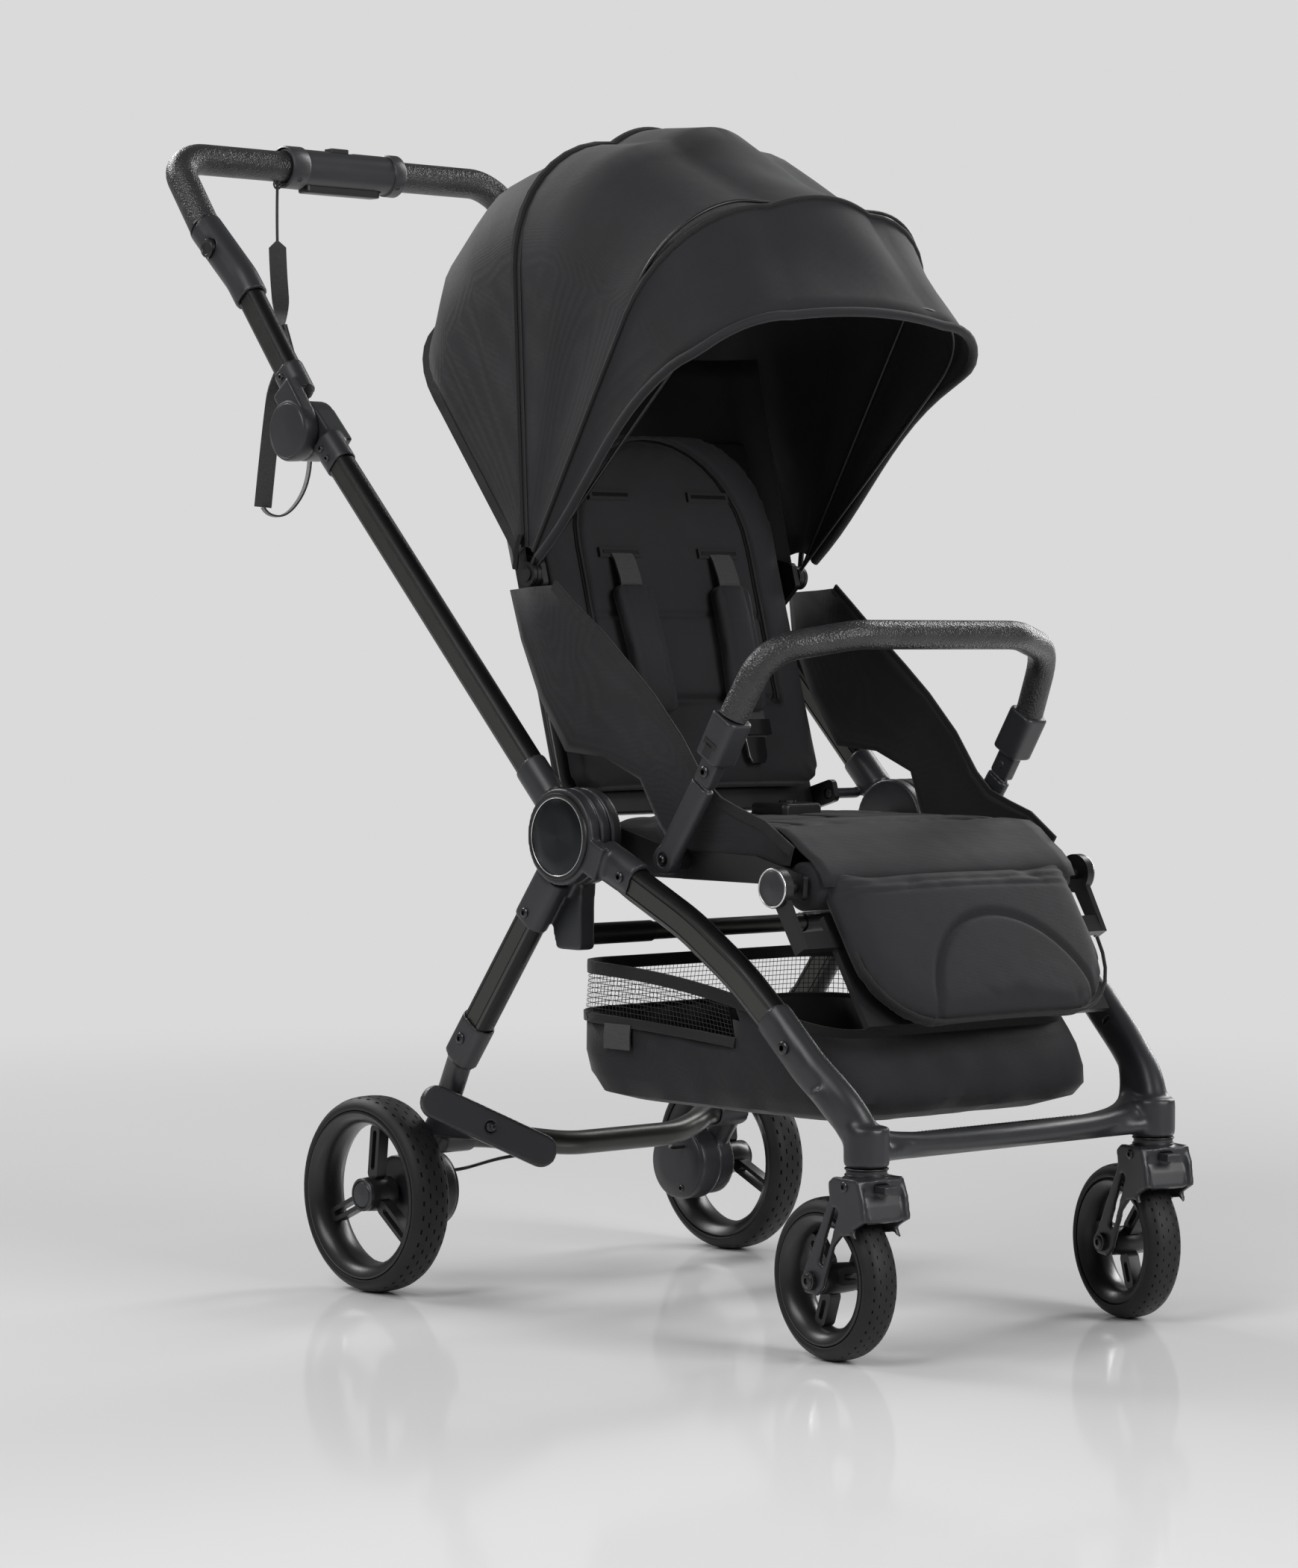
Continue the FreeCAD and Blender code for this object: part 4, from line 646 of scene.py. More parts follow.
spun = spun_finish()
collars, discs, trims = bmesh.new(), bmesh.new(), bmesh.new()
for side in (-1, 1):
    centre, out = at(side * 218, *HUB), (side, 0, 0)
    lathe(collars, [(38, -0.5), (38, 1.6), (37.2, 2.8), (35.6, 3.2), (34.2, 2.6), (34.0, 1.2)], centre, out, 72)
    lathe(discs, [(33.4, 0.4), (33.4, 1.5), (32.6, 2.0), (20, 2.5), (0.01, 2.7)], centre, out, 72)
    ring_bead(trims, centre + Vector(out) * 0.0021, out, 33.9, 0.55)
cover = new_piece("hub_cover_collars", collars, black_nylon, "chassis")
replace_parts(cover, "hub_covers")
new_piece("hub_cover_discs", discs, spun, "chassis")
new_piece("hub_cover_trims", trims, bright_steel, "chassis")

# ---------------------------------------------------------------------------
# Fold joint covers: a smooth domed cap closes each joint on its outer face.
# ---------------------------------------------------------------------------
caps = bmesh.new()
for side in (-1, 1):
    centre, out = at(side * 221, *FOLD_PIVOT), (side, 0, 0)
    lathe(caps, [(28.2, -12), (28.6, -1.5), (27.6, 0.6), (25.8, 1.2), (25.2, 0.8), (24.4, 1.6), (12, 2.6), (0.01, 2.9)],
          centre, out, 64)
new_piece("fold_joint_caps", caps, nylon, "handle_upper")

# ---------------------------------------------------------------------------
# Wheels: a foam tyre with three staggered rows of pits, a deep dished rim
# with three slotted paddle spokes, and a raised hub cap.
# ---------------------------------------------------------------------------
def tyre_finish():
    """Matte black foam: dusty on the flanks, darker in the pits."""
    finish = Finish("tyre_foam", (0.007, 0.007, 0.008), 0.55)
    finish.shader.inputs["Specular IOR Level"].default_value = 0.3
    finish.bump(finish.noise(1500), 0.35, 0.0003)
    finish.paint(finish.ramp(finish.noise(25, 4), 0.3, 0.8, (0.006, 0.006, 0.007), (0.012, 0.012, 0.014)))
    return finish.material


foam = tyre_finish()
rim_plastic = plastic_finish("rim_nylon", (0.010, 0.010, 0.011), 0.32, 0.15)
PITS_ROUND = 84
PIT_DEPTH = 0.0022


def tyre(name, radius, width, centre, axis, body, node):
    """A round-crowned tyre with pits pressed into its tread."""
    half, band = width / 2, 12.0
    crown = [(radius - 2.6 * abs(t) ** 2.6 - 2.2 * abs(t) ** 7, t * (half - 2.5)) for t in
             (-1, -0.86, -0.66, -0.5, -0.3, -0.1, 0.1, 0.3, 0.5, 0.66, 0.86, 1)]
    flank = [(radius - band, -half + 1.0), (radius - band + 1.6, -half - 0.1), (radius - 8.0, -half + 0.2)]
    profile = flank + crown + [(r, -d) for r, d in reversed(flank)] + [flank[0]]
    bm = bmesh.new()
    lathe(bm, profile, centre, axis, PITS_ROUND)
    bm.normal_update()
    axis = Vector(axis).normalized()
    side = axis.orthogonal().normalized()
    other = axis.cross(side)
    pits = []
    for face in bm.faces:
        middle = face.calc_center_median() - centre
        offset = middle.dot(axis) * 1000
        out = math.hypot(middle.dot(side), middle.dot(other)) * 1000
        turn = math.atan2(middle.dot(other), middle.dot(side)) / math.tau * PITS_ROUND
        row = round((offset / (half - 2.5) + 0.8) / 0.4)
        on_row = abs(abs(offset) / (half - 2.5) - 0.4) < 0.05 or abs(offset) < 0.5 or abs(abs(offset) / (half - 2.5) - 0.76) < 0.05
        if out > radius - 4.2 and on_row and (int(math.floor(turn)) + row) % 2 == 0:
            pits.append(face)
    bmesh.ops.inset_individual(bm, faces=pits, thickness=0.0010, use_even_offset=True)
    pushed = bmesh.ops.extrude_discrete_faces(bm, faces=pits)["faces"]
    for face in pushed:
        out = face.calc_center_median() - centre
        out = (out - axis * out.dot(axis)).normalized()
        bmesh.ops.translate(bm, verts=face.verts, vec=-out * PIT_DEPTH)
        middle = face.calc_center_median()
        for vert in face.verts:
            vert.co = middle + (vert.co - middle) * 0.7
    obj = new_piece(name, bm, foam, body, crease=50)
    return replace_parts(obj, node)


def spoke_ring(bm, centre, axis, out_way, across, inner, outer, width, depth):
    """One paddle spoke with a slot through its middle, from the hub to the rim."""
    count = 28
    loops = []
    for level in (-depth, depth):
        for length_in, length_out, half in ((inner, outer, width / 2), (inner + 9, outer - 6, width / 2 - 4.1)):
            ends = half
            points = []
            for i in range(count):
                turn = math.tau * i / count
                reach = (length_out - ends if math.cos(turn) > 0 else length_in + ends) + ends * math.cos(turn)
                points.append(centre + out_way * reach / 1000 + across * ends * math.sin(turn) / 1000 + axis * level / 1000)
            verts = [bm.verts.new(p) for p in points]
            loops.append([bm.edges.new((verts[i - 1], verts[i])) for i in range(count)])
    outer_low, slot_low, outer_high, slot_high = loops
    for first, second in ((outer_low, slot_low), (outer_high, slot_high), (outer_low, outer_high), (slot_low, slot_high)):
        bmesh.ops.bridge_loops(bm, edges=first + second)


def wheel(name, radius, width, centre, axis, body, tyre_node, rim_node, hub_radius, hub_out, start):
    """Tyre, rim and cap of one wheel; the axis points outwards."""
    axis = Vector(axis).normalized()
    tyre(name + "_tyre", radius, width, centre, axis, body, tyre_node)
    half, seat = width / 2, radius - 12.2
    bm = bmesh.new()
    dish = [
        (seat, half - 2.2), (seat - 0.9, half - 0.6), (seat - 2.6, half - 0.2), (seat - 7.0, half - 2.0),
        (seat - 11.0, half - 6.5), (seat - 13.4, half - 12), (seat - 14.4, 0), (seat - 13.4, -half + 12),
        (seat - 9.0, -half + 4.0), (seat - 2.6, -half + 0.4), (seat, -half + 2.2),
    ]
    lathe(bm, dish + [dish[0]], centre, axis, 72)
    lathe(bm, [(5.2, -hub_out + 1), (hub_radius, -hub_out + 1), (hub_radius + 1, 0), (hub_radius, hub_out - 3),
               (hub_radius - 1.0, hub_out - 1.4), (5.2, hub_out - 1.4), (5.2, -hub_out + 1)], centre, axis, 48)
    up = Vector((0, 0, 1))
    for i in range(3):
        out_way = Matrix.Rotation(math.radians(start + 120 * i), 3, axis) @ up
        spoke_ring(bm, centre, axis, out_way, axis.cross(out_way), hub_radius - 2, seat - 12.2, 13.5, 5.5)
    rim = new_piece(name + "_rim", bm, rim_plastic, body, crease=35)
    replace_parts(rim, rim_node)
    return axis


REAR_HUB_CAP = 15.6
for word, side in (("right", -1), ("left", 1)):
    centre = Vector(joint[f"rear_wheel_spin_{word}"]["pos_m"])
    wheel(f"rear_wheel_{word}", 89, 40, centre, (side, 0, 0), f"rear_wheel_{word}",
          f"rear_tyre_{word}", f"rear_rim_{word}", 15, 16, -6)
    bm = bmesh.new()
    cap_profile = [(15.0, 12.5), (15.0, REAR_HUB_CAP), (14.2, REAR_HUB_CAP + 0.7), (12.6, REAR_HUB_CAP + 0.6),
                   (12.2, REAR_HUB_CAP - 0.4), (11.4, REAR_HUB_CAP), (10.8, REAR_HUB_CAP + 1.2), (0.01, REAR_HUB_CAP + 1.9)]
    lathe(bm, cap_profile, centre, (side, 0, 0), 56)
    new_piece(f"rear_hub_cap_{word}", bm, nylon, f"rear_wheel_{word}")
    front_centre = Vector(joint[f"front_wheel_spin_{word}"]["pos_m"])
    front_axis = Vector(joint[f"front_wheel_spin_{word}"]["axis"]) * side
    wheel(f"front_wheel_{word}", 67.7, 34, front_centre, front_axis, f"front_wheel_{word}",
          f"front_tyre_{word}", f"front_rim_{word}", 12, 18.5, 40)

# ---------------------------------------------------------------------------
# Casters: a moulded fork with a slot in each cheek and an arch over the wheel,
# a sliding lock tab in a band, sealing rings at the swivel, and axle bolts.
# ---------------------------------------------------------------------------
FORK_FACE = 25.0
SWIVEL_HEIGHT = 163.0
for word, side in (("right", -1), ("left", 1)):
    stem = Vector(joint[f"caster_swivel_{word}"]["pos_m"])
    wheel_at = Vector(joint[f"front_wheel_spin_{word}"]["pos_m"])
    trail = Vector((wheel_at.x - stem.x, wheel_at.y - stem.y, 0)).normalized()
    across = Vector((trail.y, -trail.x, 0))
    turned = Matrix((across, trail, Vector((0, 0, 1)))).transposed().to_4x4()
    turned.translation = (stem.x, stem.y, 0)

    def fork_at(x, y, z):
        """A place in the fork's own directions: across, behind the swivel, and up."""
        return turned @ Vector((x / 1000, y / 1000, z / 1000))

    arch = bmesh.new()
    arch_line = [fork_at(0, y, z) for y, z in ((-21, 100), (-23, 108), (-23, 120), (-20, 134), (-14, 148))]
    arch_sizes = [(0.42, 0.6), (0.62, 1), (0.8, 1), (0.9, 1), (0.84, 1)]
    sweep(arch, soft_box(44, 6, 2.6), stations(arch_line, across, arch_sizes))
    slots = bmesh.new()
    slot_line = [fork_at(0, y, z) for y, z in ((11, 127), (27, 86))]
    for cheek in (-1, 1):
        way = (slot_line[1] - slot_line[0]).normalized()
        square = across.cross(way)
        points = []
        for i in range(24):
            turn = math.tau * i / 24
            end = slot_line[0] if math.cos(turn) < 0 else slot_line[1]
            points.append(end + way * 0.0042 * math.cos(turn) + square * 0.0042 * math.sin(turn))
        verts = [slots.verts.new(p + across * cheek * 0.015) for p in points]
        face = slots.faces.new(verts)
        made = bmesh.ops.extrude_face_region(slots, geom=[face])["geom"]
        moved = [v for v in made if isinstance(v, bmesh.types.BMVert)]
        bmesh.ops.translate(slots, verts=moved, vec=across * cheek * 0.015)
    toe = turned @ Matrix.Translation((0, -0.034, 0.098)) @ Matrix.Rotation(math.radians(-28), 4, "X")
    bmesh.ops.create_cube(slots, size=1, matrix=toe @ Matrix.Diagonal((0.09, 0.026, 0.05, 1)))
    bmesh.ops.recalc_face_normals(slots, faces=slots.faces)
    moulded(f"caster_fork_moulding_{word}", f"caster_fork_{word}", f"caster_{word}", voxel=0.0013, passes=5,
            added=arch, cut=slots)

    bm = bmesh.new()
    for height, radius in ((SWIVEL_HEIGHT - 0.6, 17.4), (SWIVEL_HEIGHT - 5.8, 17.4)):
        ring_bead(bm, fork_at(0, 0, height), (0, 0, 1), radius, 0.9)
    new_piece(f"swivel_seals_{word}", bm, black_nylon, f"caster_{word}")
    bm = bmesh.new()
    lathe(bm, [(18.8, 136), (19.9, 136.6), (19.9, 147), (18.8, 147.6)], fork_at(0, 0, 0), (0, 0, 1), 48)
    bmesh.ops.bisect_plane(bm, geom=bm.verts[:] + bm.edges[:] + bm.faces[:], plane_co=fork_at(0, 4, 0),
                           plane_no=trail, clear_outer=True)
    bmesh.ops.solidify(bm, geom=bm.faces[:], thickness=0.0007)
    new_piece(f"lock_band_{word}", bm, nylon, f"caster_{word}")
    moulded(f"lock_tab_{word}", f"caster_lock_{word}", f"caster_lock_{word}", nylon, 0.0008, 3)
    bolts(f"caster_bolts_{word}", [
        (fork_at(x * (FORK_FACE + 3.6), 41, 67.7), across * x, 6.0) for x in (-1, 1)
    ] + [(fork_at(x * (FORK_FACE - 0.2), -2, 149), across * x, 4.4) for x in (-1, 1)], f"caster_{word}")
    nodes[f"front_axle_{word}"].data.materials.clear()
    nodes[f"front_axle_{word}"].data.materials.append(dark_steel)

# ---------------------------------------------------------------------------
# Footrest tread: fine ribs moulded along the back of the casting's crossbar,
# and two bolts through the casting.
# ---------------------------------------------------------------------------
RIB_PITCH = 4.2
bm = bmesh.new()
for i in range(-33, 34):
    x = i * RIB_PITCH
    bow = max(0.0, abs(x) - 95) / 62
    place = Matrix.Translation(at(x, -553 - 17 * bow ** 2, 180.6 + 1.2 * bow))
    bmesh.ops.create_cube(bm, size=1, matrix=place @ Matrix.Diagonal((0.0017, 0.013, 0.0022, 1)))
new_piece("tread_ribs", bm, black_nylon, "chassis")
bolts("casting_bolts", [(p, a, 5.4) for p, a in both(206.6, -524, 258)], "chassis")

# ---------------------------------------------------------------------------
# Handle: one aluminium bow wrapped in stitched black leatherette, with a
# moulded grip housing in its middle and buttons on the bend sleeves.
# ---------------------------------------------------------------------------
def leather_finish():
    """Grained black leatherette: small cells with soft creases and a low gloss."""
    finish = Finish("black_leatherette", (0.012, 0.012, 0.013), 0.36)
    cells = finish.add("ShaderNodeTexVoronoi", feature="SMOOTH_F1")
    cells.inputs["Scale"].default_value = 620
    cells.inputs["Smoothness"].default_value = 0.6
    finish.join(finish.place, cells.inputs["Vector"])
    finish.bump(cells.outputs["Distance"], 0.75, 0.0007)
    finish.bump(finish.noise(190, 5), 0.45, 0.0012)
    finish.rough(finish.noise(80, 4), 0.28, 0.46)
    finish.paint(finish.ramp(finish.noise(30, 3), 0.3, 0.75, (0.010, 0.010, 0.011), (0.022, 0.022, 0.024)))
    return finish.material


leather = leather_finish()
GRIP = at(0, 338, 1054)
nodes["grip_bar"].data.materials.clear()
nodes["grip_bar"].data.materials.append(leather)
moulded("grip_centre_housing", "grip_housing", "handle_upper", voxel=0.0011, passes=4)
moulded("squeeze_trigger", "squeeze_lever", "squeeze_lever", black_nylon, 0.0012, 5)
moulded("fold_lock_slide", "lock_slide", "lock_slide", black_nylon, 0.0007, 3)
bm = bmesh.new()
for low, high in ((-69.6, -50), (57, 69.6)):
    lathe(bm, [(18.6, low), (20.0, low + 0.8), (20.2, high - 1.2), (19.4, high)], GRIP, (1, 0, 0), 64)
bmesh.ops.solidify(bm, geom=bm.faces[:], thickness=0.0008)
new_piece("grip_end_collars", bm, nylon, "handle_upper")
bm = bmesh.new()
for x in (-49.4, 56.4):
    ring_bead(bm, GRIP + Vector((x / 1000, 0, 0)), (1, 0, 0), 19.0, 0.45)
for side in (-1, 1):
    corner = at(side * 200, 287, 983)
    ring_bead(bm, corner, corner - at(side * 200, 262, 961), 15.0, 0.9)
new_piece("grip_seams", bm, gloss_black, "handle_upper")
bolts("grip_screws", [(GRIP + Vector((x / 1000, -0.0150, -0.0132)), (0, -0.75, -0.66), 3.0) for x in (-60, 62)],
      "handle_upper")
bm = bmesh.new()
for side in (-1, 1):
    lathe(bm, [(9.0, -2), (9.0, 1.4), (8.2, 2.4), (6.6, 2.6), (5.8, 1.9), (0.01, 1.7)],
          at(side * 215.2, 262, 961), (side, 0, 0), 40)
buttons = new_piece("sleeve_buttons", bm, black_nylon, "handle_upper")
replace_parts(buttons, "sleeve_caps")
bm = bmesh.new()
ring_bead(bm, at(-76, 338, 1036.4), (0, 1, 0), 4.2, 1.0)
new_piece("strap_eyelet", bm, dark_steel, "handle_upper")

# ---------------------------------------------------------------------------
# Bumper bar: a bowed bar in leatherette between two moulded clamps, each with
# a sprung tongue, hinged on the side arms.
# ---------------------------------------------------------------------------
KNEE = (-405, 481)
CLAMP_TOP = (-434, 528)
BUMPER_PLANE = -180
bar_half = [at(BUMPER_PLANE, *CLAMP_TOP), at(-170, -463, 584), at(-98, -497, 597)]
bar_line = rounded_route(
    [bar_half[0], *bar_half[1:], *[Vector((-p.x, p.y, p.z)) for p in reversed(bar_half)]], 0.06, 10)
round_section = [(0.0125 * math.cos(math.tau * i / 28), 0.0125 * math.sin(math.tau * i / 28)) for i in range(28)]
bm = bmesh.new()
sweep(bm, round_section, stations(bar_line, Vector((0, 0, 1))))
bumper = new_piece("bumper_bar_sleeve", bm, leather, "bumper_bar")
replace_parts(bumper, "bumper_bar")


def clamp_runs(low, high):
    """Places along the clamp's own line, from the knee upwards, on both sides."""
    angle = math.degrees(math.atan2(CLAMP_TOP[1] - KNEE[1], CLAMP_TOP[0] - KNEE[0]))
    for side in (-1, 1):
        yield side, [at(side * 180, *along(KNEE, angle, d)) for d in (low, low + 1.2, high - 1.2, high)]


grow = [(0.93, 0.93), (1, 1), (1, 1), (0.93, 0.93)]
clamps, tongues = bmesh.new(), bmesh.new()
for side, line in clamp_runs(13, 55):
    sweep(clamps, soft_box(27, 29, 6), stations(line, X_AXIS, grow))
for side, line in clamp_runs(-11, 13.4):
    sweep(clamps, soft_box(12.4, 21, 3), stations(line, X_AXIS, grow))
new_piece("bumper_clamps", remeshed(clamps, 0.0011, 3), nylon, "bumper_bar", crease=180)
for side, line in clamp_runs(16, 28):
    shifted_line = [p + Vector((side * 0.0134, 0, 0)) for p in line]
    sweep(tongues, soft_box(1.6, 9, 0.7), stations(shifted_line, X_AXIS))
for side, line in clamp_runs(26, 31):
    shifted_line = [p + Vector((side * 0.0134, 0, 0)) for p in line]
    sweep(tongues, soft_box(1.6, 16, 0.7), stations(shifted_line, X_AXIS))
new_piece("clamp_tongues", tongues, black_nylon, "bumper_bar")
bolts("knee_pins", [(p, a, 5.0) for p, a in both(186.4, *KNEE)], "bumper_arms")
bolts("arm_screws", [(p, a, 3.6) for p, a in both(186.2, -352, 405)], "bumper_arms")

# ---------------------------------------------------------------------------
# Rear end: brake drum covers with two screws each, dark end sleeves on the
# cross tube, the cable, and the axle pins.
# ---------------------------------------------------------------------------
for node, material in (("rear_tubes", gunmetal), ("brake_cable", black_nylon), ("rear_axle_pins", dark_steel),
                       ("pivot_bolts", dark_steel), ("seat_board", black_nylon), ("back_board", black_nylon),
                       ("footrest_board", black_nylon), ("canopy_pivots", black_nylon),
                       ("canopy_bow_mid", black_nylon), ("canopy_bow_front", black_nylon),
                       ("buckle_button", gloss_black)):
    nodes[node].data.materials.clear()
    nodes[node].data.materials.append(material)
covers = bmesh.new()
for side in (-1, 1):
    centre = Vector(joint["rear_wheel_spin_right"]["pos_m"])
    centre.x = side * 0.150
    lathe(covers, [(34.6, -3), (34.6, 0.6), (32.4, 2.2), (20, 3.0), (0.01, 3.2)], centre, (-side, 0, 0), 56)
new_piece("drum_covers", covers, nylon, "rear_frame")
drum_screws = []
for side in (-1, 1):
    for angle in (80, 250):
        y, z = along((0, 89), angle, 26)
        drum_screws.append((at(side * 147.6, y, z), (-side, 0, 0), 3.4))
bolts("drum_screws", drum_screws, "rear_frame")
sleeves = bmesh.new()
cross_y, cross_z = along(HUB, -76, 90)
for side in (-1, 1):
    lathe(sleeves, [(8.1, 92), (9.4, 93), (9.6, 168), (8.1, 169)], at(0, cross_y, cross_z), (side, 0, 0), 32)
new_piece("cross_tube_sleeves", sleeves, black_nylon, "rear_frame")
foot_discs, foot_rings = bmesh.new(), bmesh.new()
for p, a in both(186.6, -490, 387):
    lathe(foot_discs, [(14.6, -0.5), (14.6, 1.0), (13.4, 1.8), (0.01, 2.4)], p, a, 48)
    ring_bead(foot_rings, p + Vector(a) * 0.0006, a, 15.8, 0.9)
new_piece("footrest_pivot_discs", foot_discs, nylon, "footrest")
new_piece("footrest_pivot_rings", foot_rings, bright_steel, "footrest")
bolts("pedal_screws", [(Vector(joint["brake_pedal_rock"]["pos_m"]) + Vector((0.0, -0.0062, 0)), (-0.2, -0.98, 0), 3.0)],
      "rear_frame")

# ---------------------------------------------------------------------------
# Seat cushion: a filled charcoal pad sewn round its edge with two cross
# channels. It is swelled by a short cloth run, then laid on the seat board.
# ---------------------------------------------------------------------------
def fabric_finish(name, color, sheen=0.35, relief=0.4, threads=420):
    """Woven polyester: crossed threads, a soft sheen, and a slight cloudiness."""
    finish = Finish(name, color, 0.72)
    finish.shader.inputs["Sheen Weight"].default_value = sheen
    finish.shader.inputs["Sheen Roughness"].default_value = 0.4
    finish.shader.inputs["Specular IOR Level"].default_value = 0.3
    crossed = []
    for way in ("X", "Z"):
        band = finish.add("ShaderNodeTexWave", wave_type="BANDS", bands_direction=way)
        band.inputs["Scale"].default_value = threads
        band.inputs["Distortion"].default_value = 0.8
        finish.join(finish.place, band.inputs["Vector"])
        crossed.append(band.outputs["Fac"])
    finish.bump(finish.math("MULTIPLY", *crossed), relief, 0.0004)
    finish.bump(finish.noise(1400), 0.25, 0.0004)
    finish.bump(finish.noise(22, 3), 0.22, 0.004)
    lighter = tuple(c * 1.5 for c in color)
    finish.paint(finish.ramp(finish.noise(16, 4), 0.3, 0.75, color, lighter))
    return finish.material


charcoal = fabric_finish("charcoal_fabric", (0.0075, 0.0075, 0.0092), 0.10)
lining = fabric_finish("dark_lining", (0.006, 0.006, 0.0065), 0.06, 0.3)
binding = fabric_finish("binding_tape", (0.006, 0.006, 0.007), 0.12, 0.5, 300)


def swelled(bm, cap):
    """Blows a flat pad up a little with cloth pressure; no point moves further than the cap."""
    obj = scratch(bm)
    rest = [v.co.copy() for v in obj.data.vertices]
    cloth = obj.modifiers.new("swell", "CLOTH")
    cloth.settings.use_pressure = True
    cloth.settings.uniform_pressure_force = 4
    cloth.settings.effector_weights.gravity = 0
    cloth.point_cache.frame_end = 20
    for step in range(1, 21):
        bpy.context.scene.frame_set(step)
    mesh = evaluated(obj)
    bpy.context.scene.frame_set(1)
    for vert, before in zip(mesh.vertices, rest):
        move = vert.co - before
        if move.length > cap:
            vert.co = before + move.normalized() * cap
    bpy.data.objects.remove(obj)
    return bmesh_of(mesh)


def stuffed(name, outline, thickness, place, body, replaced=None, seams=(), swell=0.008, inset=3.5,
            crown=0.0, material=None, voxel=0.005, bend=None):
    """A filled pad from its flat outline in millimetres; place turns (across, along, out) into the frame."""
    bm = bmesh.new()
    middle = (sum(p[0] for p in outline) / len(outline), sum(p[1] for p in outline) / len(outline))
    shrunk = []
    for u, v in outline:
        away = Vector((u - middle[0], v - middle[1]))
        away = away * (1 - inset / max(away.length, 1))
        shrunk.append((middle[0] + away.x, middle[1] + away.y))
    low = [bm.verts.new((u / 1000, v / 1000, -thickness / 2000)) for u, v in shrunk]
    face = bm.faces.new(low)
    made = bmesh.ops.extrude_face_region(bm, geom=[face])["geom"]
    lifted = [v for v in made if isinstance(v, bmesh.types.BMVert)]
    bmesh.ops.translate(bm, verts=lifted, vec=(0, 0, thickness / 1000))
    bmesh.ops.recalc_face_normals(bm, faces=bm.faces)
    bm = remeshed(bm, voxel, 2)
    bm = swelled(bm, swell)
    bmesh.ops.subdivide_edges(bm, edges=bm.edges, cuts=1, use_grid_fill=True)
    for _ in range(2):
        bmesh.ops.smooth_vert(bm, verts=bm.verts, factor=0.5, use_axis_x=True, use_axis_y=True, use_axis_z=True)
    half_u = max(abs(p[0] - middle[0]) for p in outline)
    for vert in bm.verts:
        u, v, h = vert.co * 1000
        out = max(h / (thickness / 2), 0)
        h = max(h, -thickness / 2) + crown * max(0.0, 1 - ((u - middle[0]) / half_u) ** 2) * min(out, 1)
        if h > -thickness * 0.1:
            for line, depth, width in seams:
                near = min(gap_to(u, v, a, b) for a, b in zip(line, line[1:]))
                if near < width * 2.5:
                    h -= depth * math.exp(-(near / width) ** 2)
        vert.co = place(u, v, h)
    obj = new_piece(name, bm, material or charcoal, body, crease=180)
    if replaced:
        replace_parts(obj, replaced)
    return obj


def gap_to(u, v, a, b):
    """Distance from a point to one run of a seam, in millimetres."""
    du, dv = b[0] - a[0], b[1] - a[1]
    share = ((u - a[0]) * du + (v - a[1]) * dv) / max(du * du + dv * dv, 1e-9)
    share = min(max(share, 0), 1)
    return math.hypot(u - a[0] - share * du, v - a[1] - share * dv)


def rounded_outline(half_width, low, high, low_corner, high_corner, steps=7):
    """A rounded rectangle; its corners can differ at the bottom and the top."""
    points = []
    for sign, level, corner, start in ((1, high, high_corner, 0), (-1, high, high_corner, 90),
                                       (-1, low, low_corner, 180), (1, low, low_corner, 270)):
        for i in range(steps + 1):
            turn = math.radians(start + 90 * i / steps)
            centre_v = level - corner if level == high else level + corner
            points.append((sign * (half_width - corner) + corner * math.cos(turn), centre_v + corner * math.sin(turn)))
    return points


def arc_line(centre_v, radius, start, end, steps=18):
    return [(radius * math.cos(math.radians(start + (end - start) * i / steps)),
             centre_v + radius * math.sin(math.radians(start + (end - start) * i / steps))) for i in range(steps + 1)]


def on_seat(u, v, h):
    return at(u, -345.5 + v, 415 + h)


seat_seams = [
    ([(-156, -40), (156, -40)], 5, 4), ([(-156, 40), (156, 40)], 5, 4),
    ([(-112, -118), (-112, 118)], 4, 4), ([(112, -118), (112, 118)], 4, 4),
]
stuffed("seat_cushion", rounded_outline(155, -116, 117, 26, 14), 31, on_seat, "chassis", "seat_pad",
        seat_seams, swell=0.006, crown=2)

# ---------------------------------------------------------------------------
# Back cushion: a tall filled pad with an arched headrest panel, piping round
# the arch, and four bound slots that the shoulder webbing passes through.
# ---------------------------------------------------------------------------
LEAN = math.radians(74)


def on_back(x, s, depth):
    """A place on the backrest: across, up its slope, and behind its front face."""
    return at(x, -205 + s * math.cos(LEAN) + depth * math.sin(LEAN), 480 + s * math.sin(LEAN) - depth * math.cos(LEAN))


ARCH_CENTRE, ARCH_RADIUS = 205, 104
arch = [(ARCH_RADIUS, 60)] + arc_line(ARCH_CENTRE, ARCH_RADIUS, 0, 180) + [(-ARCH_RADIUS, 60)]
back_seams = [(arch, 6, 4.5), ([(-104, 60), (104, 60)], 5, 4), ([(-104, 140), (104, 140)], 2.5, 3)]
stuffed("back_cushion", rounded_outline(149, -24, 321, 20, 92), 22,
        lambda u, v, h: on_back(u, v, 15 - h), "backrest", "back_pad", back_seams, swell=0.004, crown=1.5)
piping = bmesh.new()
pipe_section = [(0.0016 * math.cos(math.tau * i / 8), 0.0016 * math.sin(math.tau * i / 8)) for i in range(8)]
sweep(piping, pipe_section, stations([on_back(u, v, 0.6) for u, v in arch], Vector((0, 1, 0))))
new_piece("headrest_piping", piping, binding, "backrest")
slots, slot_shade, sliders = bmesh.new(), bmesh.new(), bmesh.new()
